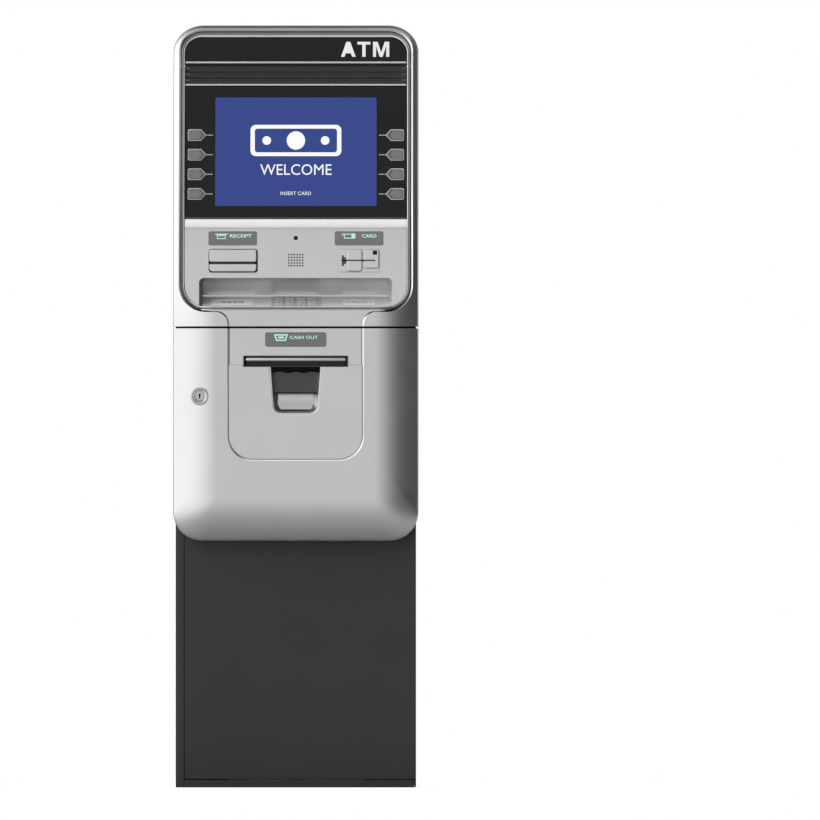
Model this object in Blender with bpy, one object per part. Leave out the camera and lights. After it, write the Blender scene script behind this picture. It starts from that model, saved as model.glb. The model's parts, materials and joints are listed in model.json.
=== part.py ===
"""A free-standing cash machine: steel cabinet with a vault, tilting upper fascia and hinged lower bezel.

Every length below is in millimetres and every angle in degrees; add_object turns them into metres.
+X is the machine's right-hand side as a customer faces it, -Y is the front, +Z is up.
The origin is on the floor, in the middle of the machine's overall width and depth.
"""

import math

import bmesh
import bpy
from mathutils import Vector

MM = 0.001

# Overall sizes
HEIGHT = 1410.0
DEPTH = 386.6
FRONT = -DEPTH / 2
BACK = DEPTH / 2
CABINET_HALF = 222.0
FASCIA_HALF = 226.5

# Cabinet
SHEET = 2.5
REAR_CORNER_R = 31.0
DOOR_FRONT = -122.6
SPLIT_Z = 849.5
TOP_Z = 1333.0
DOOR_BOTTOM = 15.0
DOOR_TOP = 848.0
JAMB_WIDTH = 15.0
HINGE_R = 3.5
VAULT_HINGE = (218.5, -99.0)
FIT = 0.5

# Side profile of the fascia: an arc that starts upright and runs into a straight, tilted stretch
CURVE_START_Z = 838.0
REAR_R = 721.5
WALL_DEPTH = 50.0
TILT = 24.6
LINE_R = REAR_R + WALL_DEPTH
CURVE_Y = DOOR_FRONT + REAR_R
ARC_LENGTH = LINE_R * math.radians(TILT)
FRONT_LINE = CURVE_Y - LINE_R
FASCIA_BOTTOM = 851.5

# Soft front edge that both mouldings share, and the opening in them
SKIN = 3.0
CROWN_WIDTH = 80.0
CROWN_DEPTH = FRONT_LINE - FRONT
CROWN_POWER = 3.0
CORNER_R = 55.5
RIM = 10.5
CHAMFER = 3.0
CHAMFER_DROP = 2.9
APRON_HALF = 125.5
FLARE_R = 50.0
FLARE_TOP_Z = 927.0
NECK_R = 22.0
FLANGE = 8.0

# Lower bezel
BEZEL_BOTTOM = 455.0
BEZEL_TOP = 848.0
BEZEL_REAR = -124.4
APRON_BOTTOM = 604.0
APRON_R = 46.0
APRON_FRONT = FRONT + 2.5
BEZEL_HINGE = (224.2, -125.8)
SLOT_HALF = 96.0
SLOT_LOW, SLOT_HIGH = 777.7, 796.8
WELL_TOP_HALF, WELL_LOW_HALF = 46.0, 40.6
WELL_BOTTOM = 692.0
LOCK = (-177.4, 723.0)
LOCK_FRONT = FRONT + 2.6

# Display stack
HEADER_HALF = 205.0
TRIM_SIDE = 20.8
TRIM_TOP = 24.5
LOUVER_TOP_Z = 1337.0
LOUVER_BOTTOM_Z = 1301.0
DISPLAY_TOP_Z = 1296.0
DISPLAY_BOTTOM_Z = 1052.5
SCREEN_HALF = 149.0
SCREEN_TOP_Z = 1276.8
SCREEN_BOTTOM_Z = 1074.3
FUNCTION_ROWS = (1205.4, 1169.1, 1132.9, 1096.4)

# Receipt and card units on the service panel
RECEIPT_X, RECEIPT_Z = -116.0, 973.0
CARD_X, CARD_Z = 117.0, 973.0

# Tray and keypad
TRAY_HALF = 178.4
TRAY_TOP_Z = 941.0
LIP_Z = 885.0
LIP_Y = -184.0
SHELF_REAR = (-103.0, 905.5)
TRAY_BACK_TOP = (-122.0, 938.0)
PIN_PITCH = 20.5
PIN_KEY = 16.4

FASCIA_AXIS = (-187.0, 856.0)
LUG_X = (132.0, 142.0)
ARM_X = (146.0, 150.0)

# Vault door lock work, as (x, z) on the door
HANDLE = (62.0, 560.0)
DIAL = (-62.0, 560.0)
BOLT_Z = (160.0, 430.0, 700.0)
BOLT_Y = -109.5
BOLT_TIP = -204.5
BOLT_BAR_X = (-187.5, -172.5)

COLOURS = {
    "silver": ((0.55, 0.55, 0.56), 0.35, 0.4),
    "charcoal": ((0.045, 0.045, 0.047), 0.55, 0.0),
    "gloss_black": ((0.02, 0.02, 0.021), 0.12, 0.0),
    "screen": ((0.035, 0.065, 0.28), 0.2, 0.0),
    "steel": ((0.5, 0.5, 0.5), 0.3, 1.0),
    "zinc": ((0.42, 0.43, 0.42), 0.45, 0.8),
    "dark_plastic": ((0.06, 0.06, 0.062), 0.5, 0.0),
    "grey_key": ((0.22, 0.22, 0.22), 0.45, 0.0),
    "label": ((0.2, 0.2, 0.205), 0.25, 0.0),
    "rubber": ((0.02, 0.02, 0.02), 0.8, 0.0),
    "paper": ((0.85, 0.85, 0.82), 0.9, 0.0),
}
MATERIALS = {}
BODIES = {}


def clear_scene():
    """Removes whatever the file holds before the machine is built."""
    for obj in list(bpy.data.objects):
        bpy.data.objects.remove(obj)


def make_materials():
    for name, (colour, roughness, metallic) in COLOURS.items():
        material = bpy.data.materials.new(name)
        material.use_nodes = True
        shader = material.node_tree.nodes["Principled BSDF"]
        shader.inputs["Base Color"].default_value = (*colour, 1)
        shader.inputs["Roughness"].default_value = roughness
        shader.inputs["Metallic"].default_value = metallic
        MATERIALS[name] = material


def make_body(name, origin=(0, 0, 0), parent=None):
    """An empty on the joint's axis; every piece of that moving body is parented to it."""
    empty = bpy.data.objects.new("body_" + name, None)
    bpy.context.scene.collection.objects.link(empty)
    offset = Vector(origin)
    if parent:
        empty.parent = BODIES[parent][0]
        offset = offset - BODIES[parent][1]
    empty.location = offset * MM
    BODIES[name] = (empty, Vector(origin))


def add_object(name, shape, material, body):
    """One object from (points, faces) in millimetres, parented to its body's empty."""
    points, faces = shape
    empty, origin = BODIES[body]
    mesh = bpy.data.meshes.new(name)
    mesh.from_pydata([(Vector(p) - origin) * MM for p in points], [], faces)
    work = bmesh.new()
    work.from_mesh(mesh)
    bmesh.ops.recalc_face_normals(work, faces=work.faces)
    work.to_mesh(mesh)
    work.free()
    obj = bpy.data.objects.new(name, mesh)
    bpy.context.scene.collection.objects.link(obj)
    obj.parent = empty
    if material:
        mesh.materials.append(MATERIALS[material])
        mesh.shade_smooth()
        mesh.set_sharp_from_angle(angle=math.radians(25))
    return obj


def combine(obj, operation, *shapes):
    """Adds a Boolean for each shape; the helper objects are hidden."""
    body = obj.parent.name.removeprefix("body_")
    for number, shape in enumerate(shapes):
        name = f"{obj.name}_{operation.lower()}_{len(obj.modifiers)}_{number}"
        tool = add_object(name, shape, None, body)
        tool.hide_render = True
        tool.display_type = "WIRE"
        modifier = obj.modifiers.new(f"{operation.lower()} {len(obj.modifiers)}", "BOOLEAN")
        modifier.operation = operation
        modifier.object = tool
        modifier.solver = "EXACT"
    return obj


def cut(obj, *shapes):
    return combine(obj, "DIFFERENCE", *shapes)


def join(obj, *shapes):
    return combine(obj, "UNION", *shapes)


# Shapes, each as (points, faces)


def box(x0, x1, y0, y1, z0, z1):
    points = [(x, y, z) for x in (x0, x1) for y in (y0, y1) for z in (z0, z1)]
    faces = [(0, 1, 3, 2), (4, 6, 7, 5), (0, 4, 5, 1), (2, 3, 7, 6), (0, 2, 6, 4), (1, 5, 7, 3)]
    return points, faces


def loft(sections, closed=False):
    """Skins closed outlines with equal numbers of points, capping the ends of an open run."""
    count = len(sections[0])
    points = [p for section in sections for p in section]
    faces = []
    runs = len(sections) if closed else len(sections) - 1
    for i in range(runs):
        a = i * count
        b = (i + 1) % len(sections) * count
        for j in range(count):
            k = (j + 1) % count
            faces.append((a + j, a + k, b + k, b + j))
    if not closed:
        faces.append(tuple(range(count)))
        faces.append(tuple(range(len(points) - count, len(points))))
    return points, faces


def extrude(outline, low, high, place):
    """A prism: outline points (a, b) at two heights, put in space by place(a, b, height)."""
    return loft([[place(a, b, h) for a, b in outline] for h in (low, high)])


def along_x(a, b, h):
    return (h, a, b)


def along_y(a, b, h):
    return (a, h, b)


def along_z(a, b, h):
    return (a, b, h)


def arc(cx, cy, radius, start, end, steps):
    """Points on an arc, both ends included."""
    turns = [math.radians(start + (end - start) * i / steps) for i in range(steps + 1)]
    return [(cx + radius * math.cos(t), cy + radius * math.sin(t)) for t in turns]


def round_rect(x0, x1, y0, y1, radius, steps=3):
    points = []
    corners = ((x1, y1, -1, -1, 0), (x0, y1, 1, -1, 90), (x0, y0, 1, 1, 180), (x1, y0, -1, 1, 270))
    for x, y, sx, sy, start in corners:
        points += arc(x + sx * radius, y + sy * radius, radius, start, start + 90, steps)
    return points


def rectangle(x0, x1, y0, y1):
    return [(x0, y0), (x1, y0), (x1, y1), (x0, y1)]


def circle(cx, cy, radius, steps):
    return arc(cx, cy, radius, 0, 360, steps)[:-1]


# Places on the fascia: x across, s along the front line of its side wall, h out of it


def bent(x, s, h):
    turn = min(s, ARC_LENGTH) / LINE_R
    run = max(0.0, s - ARC_LENGTH)
    y = CURVE_Y - (LINE_R + h) * math.cos(turn) + run * math.sin(turn)
    z = CURVE_START_Z + (LINE_R + h) * math.sin(turn) + run * math.cos(turn)
    return (x, y, z)


def s_at(z, h=0.0):
    """The s at which a point h proud of the front line is at height z."""
    top = math.radians(TILT)
    arc_top = CURVE_START_Z + (LINE_R + h) * math.sin(top)
    if z > arc_top:
        return ARC_LENGTH + (z - arc_top) / math.cos(top)
    return LINE_R * math.asin((z - CURVE_START_Z) / (LINE_R + h))


TOP_S = ARC_LENGTH + (HEIGHT - bent(0, ARC_LENGTH, 0)[2]) / math.cos(math.radians(TILT))


def plane(y, z, tilt):
    """Place function of a flat face: a across, b up along the face, h out of it."""
    sine = math.sin(math.radians(tilt))
    cosine = math.cos(math.radians(tilt))

    def place(a, b, h):
        return (a, y + b * sine - h * cosine, z + b * cosine + h * sine)

    return place


def crown(x, up, outline_x, outline_up):
    """Height of the soft front edge at distances x and up from the sides, 0 on the outline itself."""

    def share(side, end):
        a = max(0.0, 1 - side / CROWN_WIDTH)
        b = max(0.0, 1 - end / CROWN_WIDTH)
        return (a**CROWN_POWER + b**CROWN_POWER) ** (1 / CROWN_POWER)

    return CROWN_DEPTH * (1 - min(1.0, share(x, up) / share(outline_x, outline_up)) ** 2)


# Side walls and soft edge of a moulding, as one section for each point of its outline


def moulding_sections(rows, place, wall, measure, steps):
    """rows hold (outline point, opening edge, inward direction); measure gives side distances."""
    sections = []
    for outer, edge, inward in rows:
        reach = [(edge[0] - outer[0]) * k / steps for k in range(steps + 1)]
        climb = [(edge[1] - outer[1]) * k / steps for k in range(steps + 1)]
        front = []
        for dx, dy in zip(reach, climb):
            p = (outer[0] + dx, outer[1] + dy)
            front.append((*p, crown(*measure(*p), *measure(*outer))))
        a, b, top = front[-1]
        lip = (a + inward[0] * CHAMFER, b + inward[1] * CHAMFER, top - CHAMFER_DROP)
        foot = (lip[0], lip[1], min(top - SKIN, 2.2) - FLANGE)
        back_foot = (lip[0] - inward[0] * SKIN, lip[1] - inward[1] * SKIN, foot[2])
        back = [(p[0], p[1], p[2] - SKIN) for p in front[1:-1]][::-1]
        under = (back_foot[0], back_foot[1], top - SKIN - 1)
        start = outer
        step_in = (start[0] + inward[0] * SKIN, start[1] + inward[1] * SKIN)
        section = [(*outer, -wall), *front, lip, foot, back_foot, under, *back[:-1]]
        section += [(*step_in, crown(*measure(*step_in), *measure(*outer)) - SKIN), (*step_in, -wall)]
        sections.append([place(*p) for p in section])
    return sections


def fascia_measure(x, s):
    return FASCIA_HALF - abs(x), TOP_S - s


def bezel_measure(x, z):
    return FASCIA_HALF - abs(x), z - BEZEL_BOTTOM


def flare_boundary(steps):
    """Edge of the fascia's opening on the -X side, from the split line up to the straight rim."""
    neck_x = -APRON_HALF - NECK_R
    flare_x = -(FASCIA_HALF - RIM) + FLARE_R
    low_z = FLARE_TOP_Z - FLARE_R
    points = [(-APRON_HALF, FASCIA_BOTTOM)]
    points += arc(neck_x, low_z - NECK_R, NECK_R, 0, 90, steps)
    points += [(x, z) for x, z in arc(flare_x, FLARE_TOP_Z, FLARE_R, 270, 180, steps + 2)]
    level = [(x, z + 0.8 * i / len(points)) for i, (x, z) in enumerate(points)]
    return level


def fascia_rows(flare_steps, side_steps, corner_steps):
    """Rows of the fascia from its bottom left end, over the top, to its bottom right end."""
    rows = [((-FASCIA_HALF, s_at(z)), (x, s_at(z)), (1, 0)) for x, z in flare_boundary(flare_steps)]
    start = s_at(FLARE_TOP_Z + 1)
    stop = TOP_S - CORNER_R
    for i in range(1, side_steps + 1):
        s = start + (stop - start) * i / side_steps
        rows.append(((-FASCIA_HALF, s), (-FASCIA_HALF + RIM, s), (1, 0)))
    centre = (-FASCIA_HALF + CORNER_R, stop)
    for i in range(1, corner_steps + 1):
        turn = math.radians(180 - 90 * i / corner_steps)
        out = (math.cos(turn), math.sin(turn))
        outer = (centre[0] + CORNER_R * out[0], centre[1] + CORNER_R * out[1])
        edge = (outer[0] - RIM * out[0], outer[1] - RIM * out[1])
        rows.append((outer, edge, (-out[0], -out[1])))
    mirrored = [((-o[0], o[1]), (-e[0], e[1]), (-n[0], n[1])) for o, e, n in reversed(rows)]
    return rows + mirrored


def bezel_rows(side_steps, corner_steps, bottom_steps):
    """Rows of the lower bezel from its top left end, round the bottom, to its top right end."""
    rows = []
    outer_low = BEZEL_BOTTOM + CORNER_R
    edge_low = APRON_BOTTOM + APRON_R
    for i in range(side_steps + 1):
        t = i / side_steps
        outer = (-FASCIA_HALF, BEZEL_TOP + (outer_low - BEZEL_TOP) * t)
        edge = (-APRON_HALF, BEZEL_TOP + (edge_low - BEZEL_TOP) * t)
        rows.append((outer, edge, (1, 0)))
    outer_arc = arc(-FASCIA_HALF + CORNER_R, outer_low, CORNER_R, 180, 270, corner_steps)
    edge_arc = arc(-APRON_HALF + APRON_R, edge_low, APRON_R, 180, 270, corner_steps)
    for i in range(1, corner_steps + 1):
        turn = math.radians(180 + 90 * i / corner_steps)
        rows.append((outer_arc[i], edge_arc[i], (-math.cos(turn), -math.sin(turn))))
    for i in range(1, bottom_steps + 1):
        t = 1 - i / bottom_steps
        rows.append((((outer_arc[-1][0]) * t, BEZEL_BOTTOM), (edge_arc[-1][0] * t, APRON_BOTTOM), (0, 1)))
    mirrored = [((-o[0], o[1]), (-e[0], e[1]), (-n[0], n[1])) for o, e, n in reversed(rows[:-1])]
    return rows + mirrored


# Cabinet


def wall_line(offset):
    """Plan view of the wrap-round wall at a given inset, from the left jamb to the right front edge."""
    side = CABINET_HALF - offset
    rear = BACK - offset
    r = REAR_CORNER_R - offset
    line = [(-side, DOOR_FRONT + offset)]
    line += arc(-side + r, rear - r, r, 180, 90, 4)
    line += arc(side - r, rear - r, r, 90, 0, 4)
    line += [(side, DOOR_FRONT)]
    return line


def front_cutter(offset):
    """Side view of everything in front of the fascia's rear curve, above the split."""
    line = [bent(0, TOP_S * i / 16, -WALL_DEPTH - offset)[1:] for i in range(17)]
    line = [p for p in line if p[1] > SPLIT_Z]
    start = (bent(0, s_at(SPLIT_Z, -WALL_DEPTH), -WALL_DEPTH - offset)[1], SPLIT_Z)
    return [(-300.0, SPLIT_Z), start, *line, (-300.0, 1500.0)]


def build_cabinet_shell():
    jamb_x = -CABINET_HALF + JAMB_WIDTH
    outer = [(jamb_x, DOOR_FRONT)] + wall_line(0)
    inner = wall_line(SHEET)[::-1] + [(jamb_x, DOOR_FRONT + SHEET)]
    shell = add_object("cabinet_shell", extrude(outer + inner, 0, TOP_Z, along_z), "charcoal", "cabinet")
    cut(
        shell,
        extrude(front_cutter(1.5), -260, 260, along_x),
        box(-CABINET_HALF + SHEET + 0.01, jamb_x + 10, -130, -115, SPLIT_Z, 900),
        box(200, 240, -130, -94, DOOR_BOTTOM - 1.2, SPLIT_Z),
        extrude(circle(-150, 60, 18, 16), BACK - 10, BACK + 10, along_y),
    )
    slots = [box(-70, 70, BACK - 10, BACK + 10, 1180 + 14 * i, 1186 + 14 * i) for i in range(5)]
    cut(shell, *slots)


def build_cabinet_plates():
    inside = CABINET_HALF - SHEET - FIT
    rear = BACK - SHEET - FIT
    r = REAR_CORNER_R - SHEET - FIT
    corners = arc(inside - r, rear - r, r, 0, 90, 4) + arc(-inside + r, rear - r, r, 90, 180, 4)

    def plan(front):
        return [(inside, front), *corners, (-inside, front)]

    jamb = -CABINET_HALF + JAMB_WIDTH + FIT
    floor = extrude(plan(DOOR_FRONT + SHEET + FIT), 0, 5, along_z)
    base = add_object("base_plate", floor, "charcoal", "cabinet")
    join(base, box(jamb, inside, DOOR_FRONT, DOOR_FRONT + 6, 0, DOOR_BOTTOM - 1.5))
    ceiling = extrude(plan(-119.0), SPLIT_Z + 0.5, SPLIT_Z + 3.5, along_z)
    add_object("vault_ceiling", ceiling, "charcoal", "cabinet")
    top_front = bent(0, s_at(TOP_Z, -WALL_DEPTH), -WALL_DEPTH - 3)[1]
    lid = extrude(plan(top_front), TOP_Z - 2.5, TOP_Z, along_z)
    top = add_object("top_panel", lid, "charcoal", "cabinet")
    join(top, box(-inside, inside, top_front, top_front + 3, TOP_Z - 18, TOP_Z - 1))
    cut(top, extrude(circle(0, 122, 9.6, 16), TOP_Z - 30, TOP_Z + 10, along_z))
    grommet = extrude(circle(-150, 60, 21, 16), BACK - SHEET - 3.5, BACK - SHEET - 0.4, along_y)
    plug = extrude(circle(-150, 60, 17.4, 16), BACK - SHEET - 1, BACK - 0.2, along_y)
    ring = add_object("cable_grommet", grommet, "rubber", "cabinet")
    join(ring, plug)
    cut(ring, extrude(circle(-150, 60, 9, 12), BACK - 20, BACK + 5, along_y))


def build_fascia_hinge():
    """Two arms on the vault ceiling carry the rod that the fascia tilts on."""
    y, z = FASCIA_AXIS
    floor = SPLIT_Z + 3.5 + FIT
    foot = box(-160, 160, -118, -106, floor, floor + 3)
    bracket = add_object("fascia_hinge_bracket", foot, "zinc", "cabinet")
    arm = [(-106, floor), (-106, floor + 9), (y, z + 2.6), (y - 2.1, z + 1.2)]
    arm += [(y - 2.1, z - 1.2), (-119, floor)]
    for side in (-1, 1):
        near, far = sorted((side * ARM_X[0], side * ARM_X[1]))
        join(bracket, extrude(arm, near, far, along_x))
        near, far = sorted((side * (LUG_X[0] - 2), side * (ARM_X[1] + 2)))
        join(bracket, extrude(circle(y, z, 2.0, 10), near, far, along_x))


def build_dispenser():
    half = 125
    chassis = add_object("cash_dispenser", box(-half, half, -88, 160, 5.5, 806), "zinc", "cabinet")
    cut(
        chassis,
        box(-half + 3, half - 3, -90, 150, 340, 570),
        box(-half + 3, half - 3, -90, 150, 20, 325),
        box(-half + 3, half - 3, -70, 150, 585, 790),
        box(-95, 95, -90, -60, 779, 795),
        box(-half - 5, half + 5, 60, 140, 600, 770),
    )
    case = box(-110, 110, -80, 140, 342, 560)
    cassette = add_object("cash_cassette", case, "dark_plastic", "cash_cassette")
    cut(cassette, box(-102, 102, -60, 132, 350, 565), box(-45, 45, -82, -66, 520, 550))
    join(cassette, box(-40, 40, -79, -74, 512, 518))
    unit = add_object("control_unit", box(-190, -20, 60, 170, 854, 1010), "zinc", "cabinet")
    vents = [box(-160 + 16 * i, -154 + 16 * i, 55, 66, 880, 985) for i in range(8)]
    cut(unit, box(-187, -23, 62.5, 167, 857, 1007), *vents)


def build_vault_hinge():
    rod = extrude(circle(*VAULT_HINGE, HINGE_R, 12), DOOR_BOTTOM, DOOR_TOP, along_z)
    add_object("vault_hinge_rod", rod, "steel", "cabinet")


# Vault door, with its lock work


def build_vault_door():
    left = -CABINET_HALF + JAMB_WIDTH + 1.3
    right = CABINET_HALF
    rear = VAULT_HINGE[1] - HINGE_R - 0.5
    slab = box(left, right, DOOR_FRONT, rear, DOOR_BOTTOM, DOOR_TOP)
    door = add_object("vault_door", slab, "charcoal", "vault_door")
    inner = box(left + SKIN, right - SKIN, DOOR_FRONT + 6, rear + 5, DOOR_BOTTOM + SKIN, DOOR_TOP - SKIN)
    holes = [extrude(circle(BOLT_Y, z, 6.6, 12), left - 5, left + 8, along_x) for z in BOLT_Z]
    cut(
        door,
        inner,
        box(-98, 98, -130, -100, 770, 800),
        extrude(circle(*HANDLE, 7.5, 12), -130, -100, along_y),
        extrude(circle(*DIAL, 5.0, 12), -130, -100, along_y),
        *holes,
    )


def build_vault_handle():
    x, z = HANDLE
    rose = extrude(circle(x, z, 16, 16), -138, DOOR_FRONT - 0.6, along_y)
    handle = add_object("vault_handle", rose, "steel", "vault_handle")
    grip = round_rect(x - 7, x + 7, z - 84, z + 10, 6.9, 3)
    join(
        handle,
        extrude(grip, -148, -136, along_y),
        extrude(circle(x, z, 6.5, 12), -140, -104, along_y),
        box(x - 5, x + 5, -112, -105, z - 4, z + 28),
    )


def build_dial():
    x, z = DIAL
    knurl = [
        (x + r * math.cos(a), z + r * math.sin(a))
        for i in range(24)
        for a, r in ((math.radians(15 * i), 30.0), (math.radians(15 * i + 7.5), 28.8))
    ]
    dial = add_object("combination_dial", extrude(knurl, -140, -131, along_y), "steel", "combination_dial")
    join(
        dial,
        extrude(circle(x, z, 15, 16), -152, -139, along_y),
        extrude(circle(x, z, 4.2, 12), -132, -104, along_y),
    )


def build_bolt_bar():
    """Three bolts on one bar, drawn back inside the door; the handle throws them behind the jamb."""
    bar = box(*BOLT_BAR_X, BOLT_Y - 2.5, BOLT_Y + 2.5, BOLT_Z[0] - 30, BOLT_Z[2] + 30)
    bolts = add_object("bolt_bar", bar, "steel", "bolt_bar")
    for z in BOLT_Z:
        join(bolts, extrude(circle(BOLT_Y, z, 5.8, 12), BOLT_TIP, BOLT_BAR_X[0] + 6, along_x))


def build_bezel_hinges():
    x, y = BEZEL_HINGE
    for name, z in (("bezel_hinge_upper", 806.0), ("bezel_hinge_lower", 544.5)):
        barrel = extrude(circle(x - 0.8, y + 0.1, 2.6, 10), z - 25, z + 25, along_z)
        hinge = add_object(name, barrel, "steel", "vault_door")
        join(hinge, box(x - 26, x - 2, DOOR_FRONT - 2.2, DOOR_FRONT - 0.4, z - 25, z + 25))


# Lower bezel and the cash outlet


def bezel_place(x, z, h):
    return (x, FRONT_LINE - h, z)


def well_outline(grow=0.0):
    """Front view of the finger well below the slot."""
    low = WELL_BOTTOM - grow
    left = arc(-WELL_LOW_HALF + 15 - grow, low + 15, 15, 180, 270, 4)
    right = arc(WELL_LOW_HALF - 15 + grow, low + 15, 15, 270, 360, 4)
    return [(-WELL_TOP_HALF - grow, SLOT_LOW + 5), *left, *right, (WELL_TOP_HALF + grow, SLOT_LOW + 5)]


def build_lower_bezel():
    wall = FRONT_LINE - BEZEL_REAR
    sections = moulding_sections(bezel_rows(4, 6, 2), bezel_place, -wall, bezel_measure, 6)
    bezel = add_object("lower_bezel", loft(sections), "silver", "lower_bezel")
    notch_x = (FASCIA_HALF - 12, FASCIA_HALF + 5)
    notches = [box(*notch_x, -129.8, BEZEL_REAR + 3, z - 26.5, z + 26.5) for z in (806.0, 544.5)]
    seat = extrude(circle(*LOCK, 17.2, 20), -200, LOCK_FRONT + 2.5, along_y)
    pad = extrude(circle(*LOCK, 19.5, 20), LOCK_FRONT + 3.5, LOCK_FRONT + 8, along_y)
    join(bezel, pad)
    cut(bezel, *notches, seat, extrude(circle(*LOCK, 13.2, 16), -200, -160, along_y))


def build_cash_panel():
    half = APRON_HALF - CHAMFER - FIT
    low = APRON_BOTTOM + CHAMFER + FIT
    r = APRON_R - CHAMFER
    outline = [(-half, BEZEL_TOP), *arc(-half + r, low + r, r, 180, 270, 6)]
    outline += [*arc(half - r, low + r, r, 270, 360, 6), (half, BEZEL_TOP)]
    sheet = extrude(outline, APRON_FRONT, APRON_FRONT + SKIN, along_y)
    panel = add_object("cash_panel", sheet, "silver", "lower_bezel")
    join(panel, box(-half, half, APRON_FRONT + 1, BEZEL_REAR, BEZEL_TOP - SKIN, BEZEL_TOP))
    cut(
        panel,
        box(-SLOT_HALF, SLOT_HALF, -200, -180, SLOT_LOW, SLOT_HIGH),
        extrude(well_outline(), -200, -180, along_y),
    )


def build_cash_slot():
    """Dark duct that brings the notes from the vault door to the slot."""
    back = -130.0
    front = APRON_FRONT + SKIN + FIT
    duct = box(-SLOT_HALF - 3, SLOT_HALF + 3, front, back, SLOT_LOW - 3, SLOT_HIGH + 3)
    frame = add_object("cash_slot_frame", duct, "gloss_black", "lower_bezel")
    cut(frame, box(-SLOT_HALF, SLOT_HALF, front - 5, back + 5, SLOT_LOW, SLOT_HIGH))
    cut(frame, box(-WELL_TOP_HALF, WELL_TOP_HALF, front - 5, front + 22, SLOT_LOW - 6, SLOT_LOW + 6))
    outline = well_outline(2.5)[1:-1] + [(48.5, SLOT_LOW - 3.6), (-48.5, SLOT_LOW - 3.6)]
    well = extrude(outline, front, front + 26, along_y)
    pocket = add_object("finger_well", well, "silver", "lower_bezel")
    cut(pocket, extrude(well_outline(), front - 5, front + 22.5, along_y))


def build_bezel_lock():
    x, z = LOCK
    ring = extrude(circle(x, z, 16.6, 20), LOCK_FRONT, LOCK_FRONT + 2.2, along_y)
    collar = add_object("bezel_lock_ring", ring, "steel", "lower_bezel")
    join(collar, extrude(circle(x, z, 12.6, 16), LOCK_FRONT + 1, FRONT_LINE + 2, along_y))
    cut(collar, extrude(circle(x, z, 9.2, 16), -200, -160, along_y))
    barrel = extrude(circle(x, z, 8.8, 16), LOCK_FRONT + 0.6, FRONT_LINE + 8, along_y)
    lock = add_object("bezel_lock_cylinder", barrel, "steel", "bezel_lock")
    cut(lock, box(x - 0.9, x + 0.9, -200, LOCK_FRONT + 5, z - 4.5, z + 4.5))
    join(lock, box(x - 4, x + 4, FRONT_LINE + 5, FRONT_LINE + 8.5, z - 34, z))


# Upper fascia


def build_fascia_shell():
    sections = moulding_sections(fascia_rows(5, 10, 6), bent, WALL_DEPTH, fascia_measure, 5)
    shell = add_object("fascia_shell", loft(sections), "silver", "fascia")
    y, z = FASCIA_AXIS
    for side in (-1, 1):
        near, far = sorted((side * LUG_X[0], side * LUG_X[1]))
        join(shell, box(near, far, y - 4.6, y + 3.4, z - 3.2, z + 3.4))
        near, far = sorted((side * (LUG_X[0] - 3), side * (ARM_X[1] + 3)))
        cut(shell, extrude(circle(y, z, 2.15, 16), near, far, along_x))


def build_header():
    half = FASCIA_HALF - TRIM_SIDE - FIT
    top = TOP_S - TRIM_TOP - FIT
    low = s_at(DISPLAY_TOP_Z + 3)
    r = CORNER_R - TRIM_SIDE
    outline = [(-half, low), (half, low), *arc(half - r, top - r, r, 0, 90, 5)]
    outline += arc(-half + r, top - r, r, 90, 180, 5)
    panel = add_object("header_panel", extrude(outline, -4, 0, bent), "gloss_black", "fascia")
    pitch = (LOUVER_TOP_Z - LOUVER_BOTTOM_Z) / 3 / math.cos(math.radians(TILT))
    for i in range(3):
        s = s_at(LOUVER_BOTTOM_Z) + pitch * i
        groove = [(s + 1.2, 0.5), (s + pitch - 1.2, 0.5), (s + pitch - 3.0, -2.2), (s + 1.2, -2.2)]
        cut(panel, loft([[bent(x, a, h) for a, h in groove] for x in (-198, 198)]))


def display_plane():
    top = bent(0, s_at(DISPLAY_TOP_Z), 0)
    low = bent(0, s_at(DISPLAY_BOTTOM_Z), 0)
    tilt = math.degrees(math.atan2(top[1] - low[1], top[2] - low[2]))
    return plane(low[1], low[2], tilt), tilt, low


def on_display(z):
    """Distance up the display's face of a point seen at height z from the front."""
    place, tilt, low = display_plane()
    return (z - low[2]) / math.cos(math.radians(tilt))


def function_key_outline(side, z, grow=0.0):
    """Pentagon that points at the screen."""
    b = on_display(z)
    half = 12.2 - 2.2 + grow
    back, shoulder, tip = 198.2 + grow, 175.5, 168.2 - grow * 1.3
    points = [(back, b - half), (back, b + half), (shoulder, b + half), (tip, b), (shoulder, b - half)]
    return [(side * x, u) for x, u in points]


def build_display():
    place, tilt, low = display_plane()
    top = on_display(DISPLAY_TOP_Z)
    b0, b1 = on_display(SCREEN_BOTTOM_Z), on_display(SCREEN_TOP_Z)
    plate = [(-HEADER_HALF, 0.8), (HEADER_HALF, 0.8), (HEADER_HALF, top), (-HEADER_HALF, top)]
    panel = add_object("display_bezel", extrude(plate, -4, 0, place), "gloss_black", "fascia")
    window = round_rect(-SCREEN_HALF, SCREEN_HALF, b0, b1, 1.5, 2)
    cut(panel, extrude(window, -8, 4, place))
    for side in (-1, 1):
        for z in FUNCTION_ROWS:
            cut(panel, extrude(function_key_outline(side, z, 0.5), -8, 4, place))
    glass = round_rect(-SCREEN_HALF + FIT, SCREEN_HALF - FIT, b0 + FIT, b1 - FIT, 1.2, 2)
    monitor = add_object("lcd_monitor", extrude(glass, -8, -1.2, place), "screen", "fascia")
    case = [(-158, b0 - 9), (158, b0 - 9), (158, b1 + 9), (-158, b1 + 9)]
    join(monitor, extrude(case, -38, -4.8, place))


def build_function_keys():
    place, tilt, low = display_plane()
    for side, side_name in ((-1, "left"), (1, "right")):
        for row, z in enumerate(FUNCTION_ROWS, 1):
            name = f"function_key_{side_name}_{row}"
            outline = function_key_outline(side, z)
            centre = place(side * 184.0, on_display(z), 0)
            make_body(name, centre, "fascia")
            add_object(name, extrude(outline, -4.4, 1.6, place), "grey_key", name)


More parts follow.
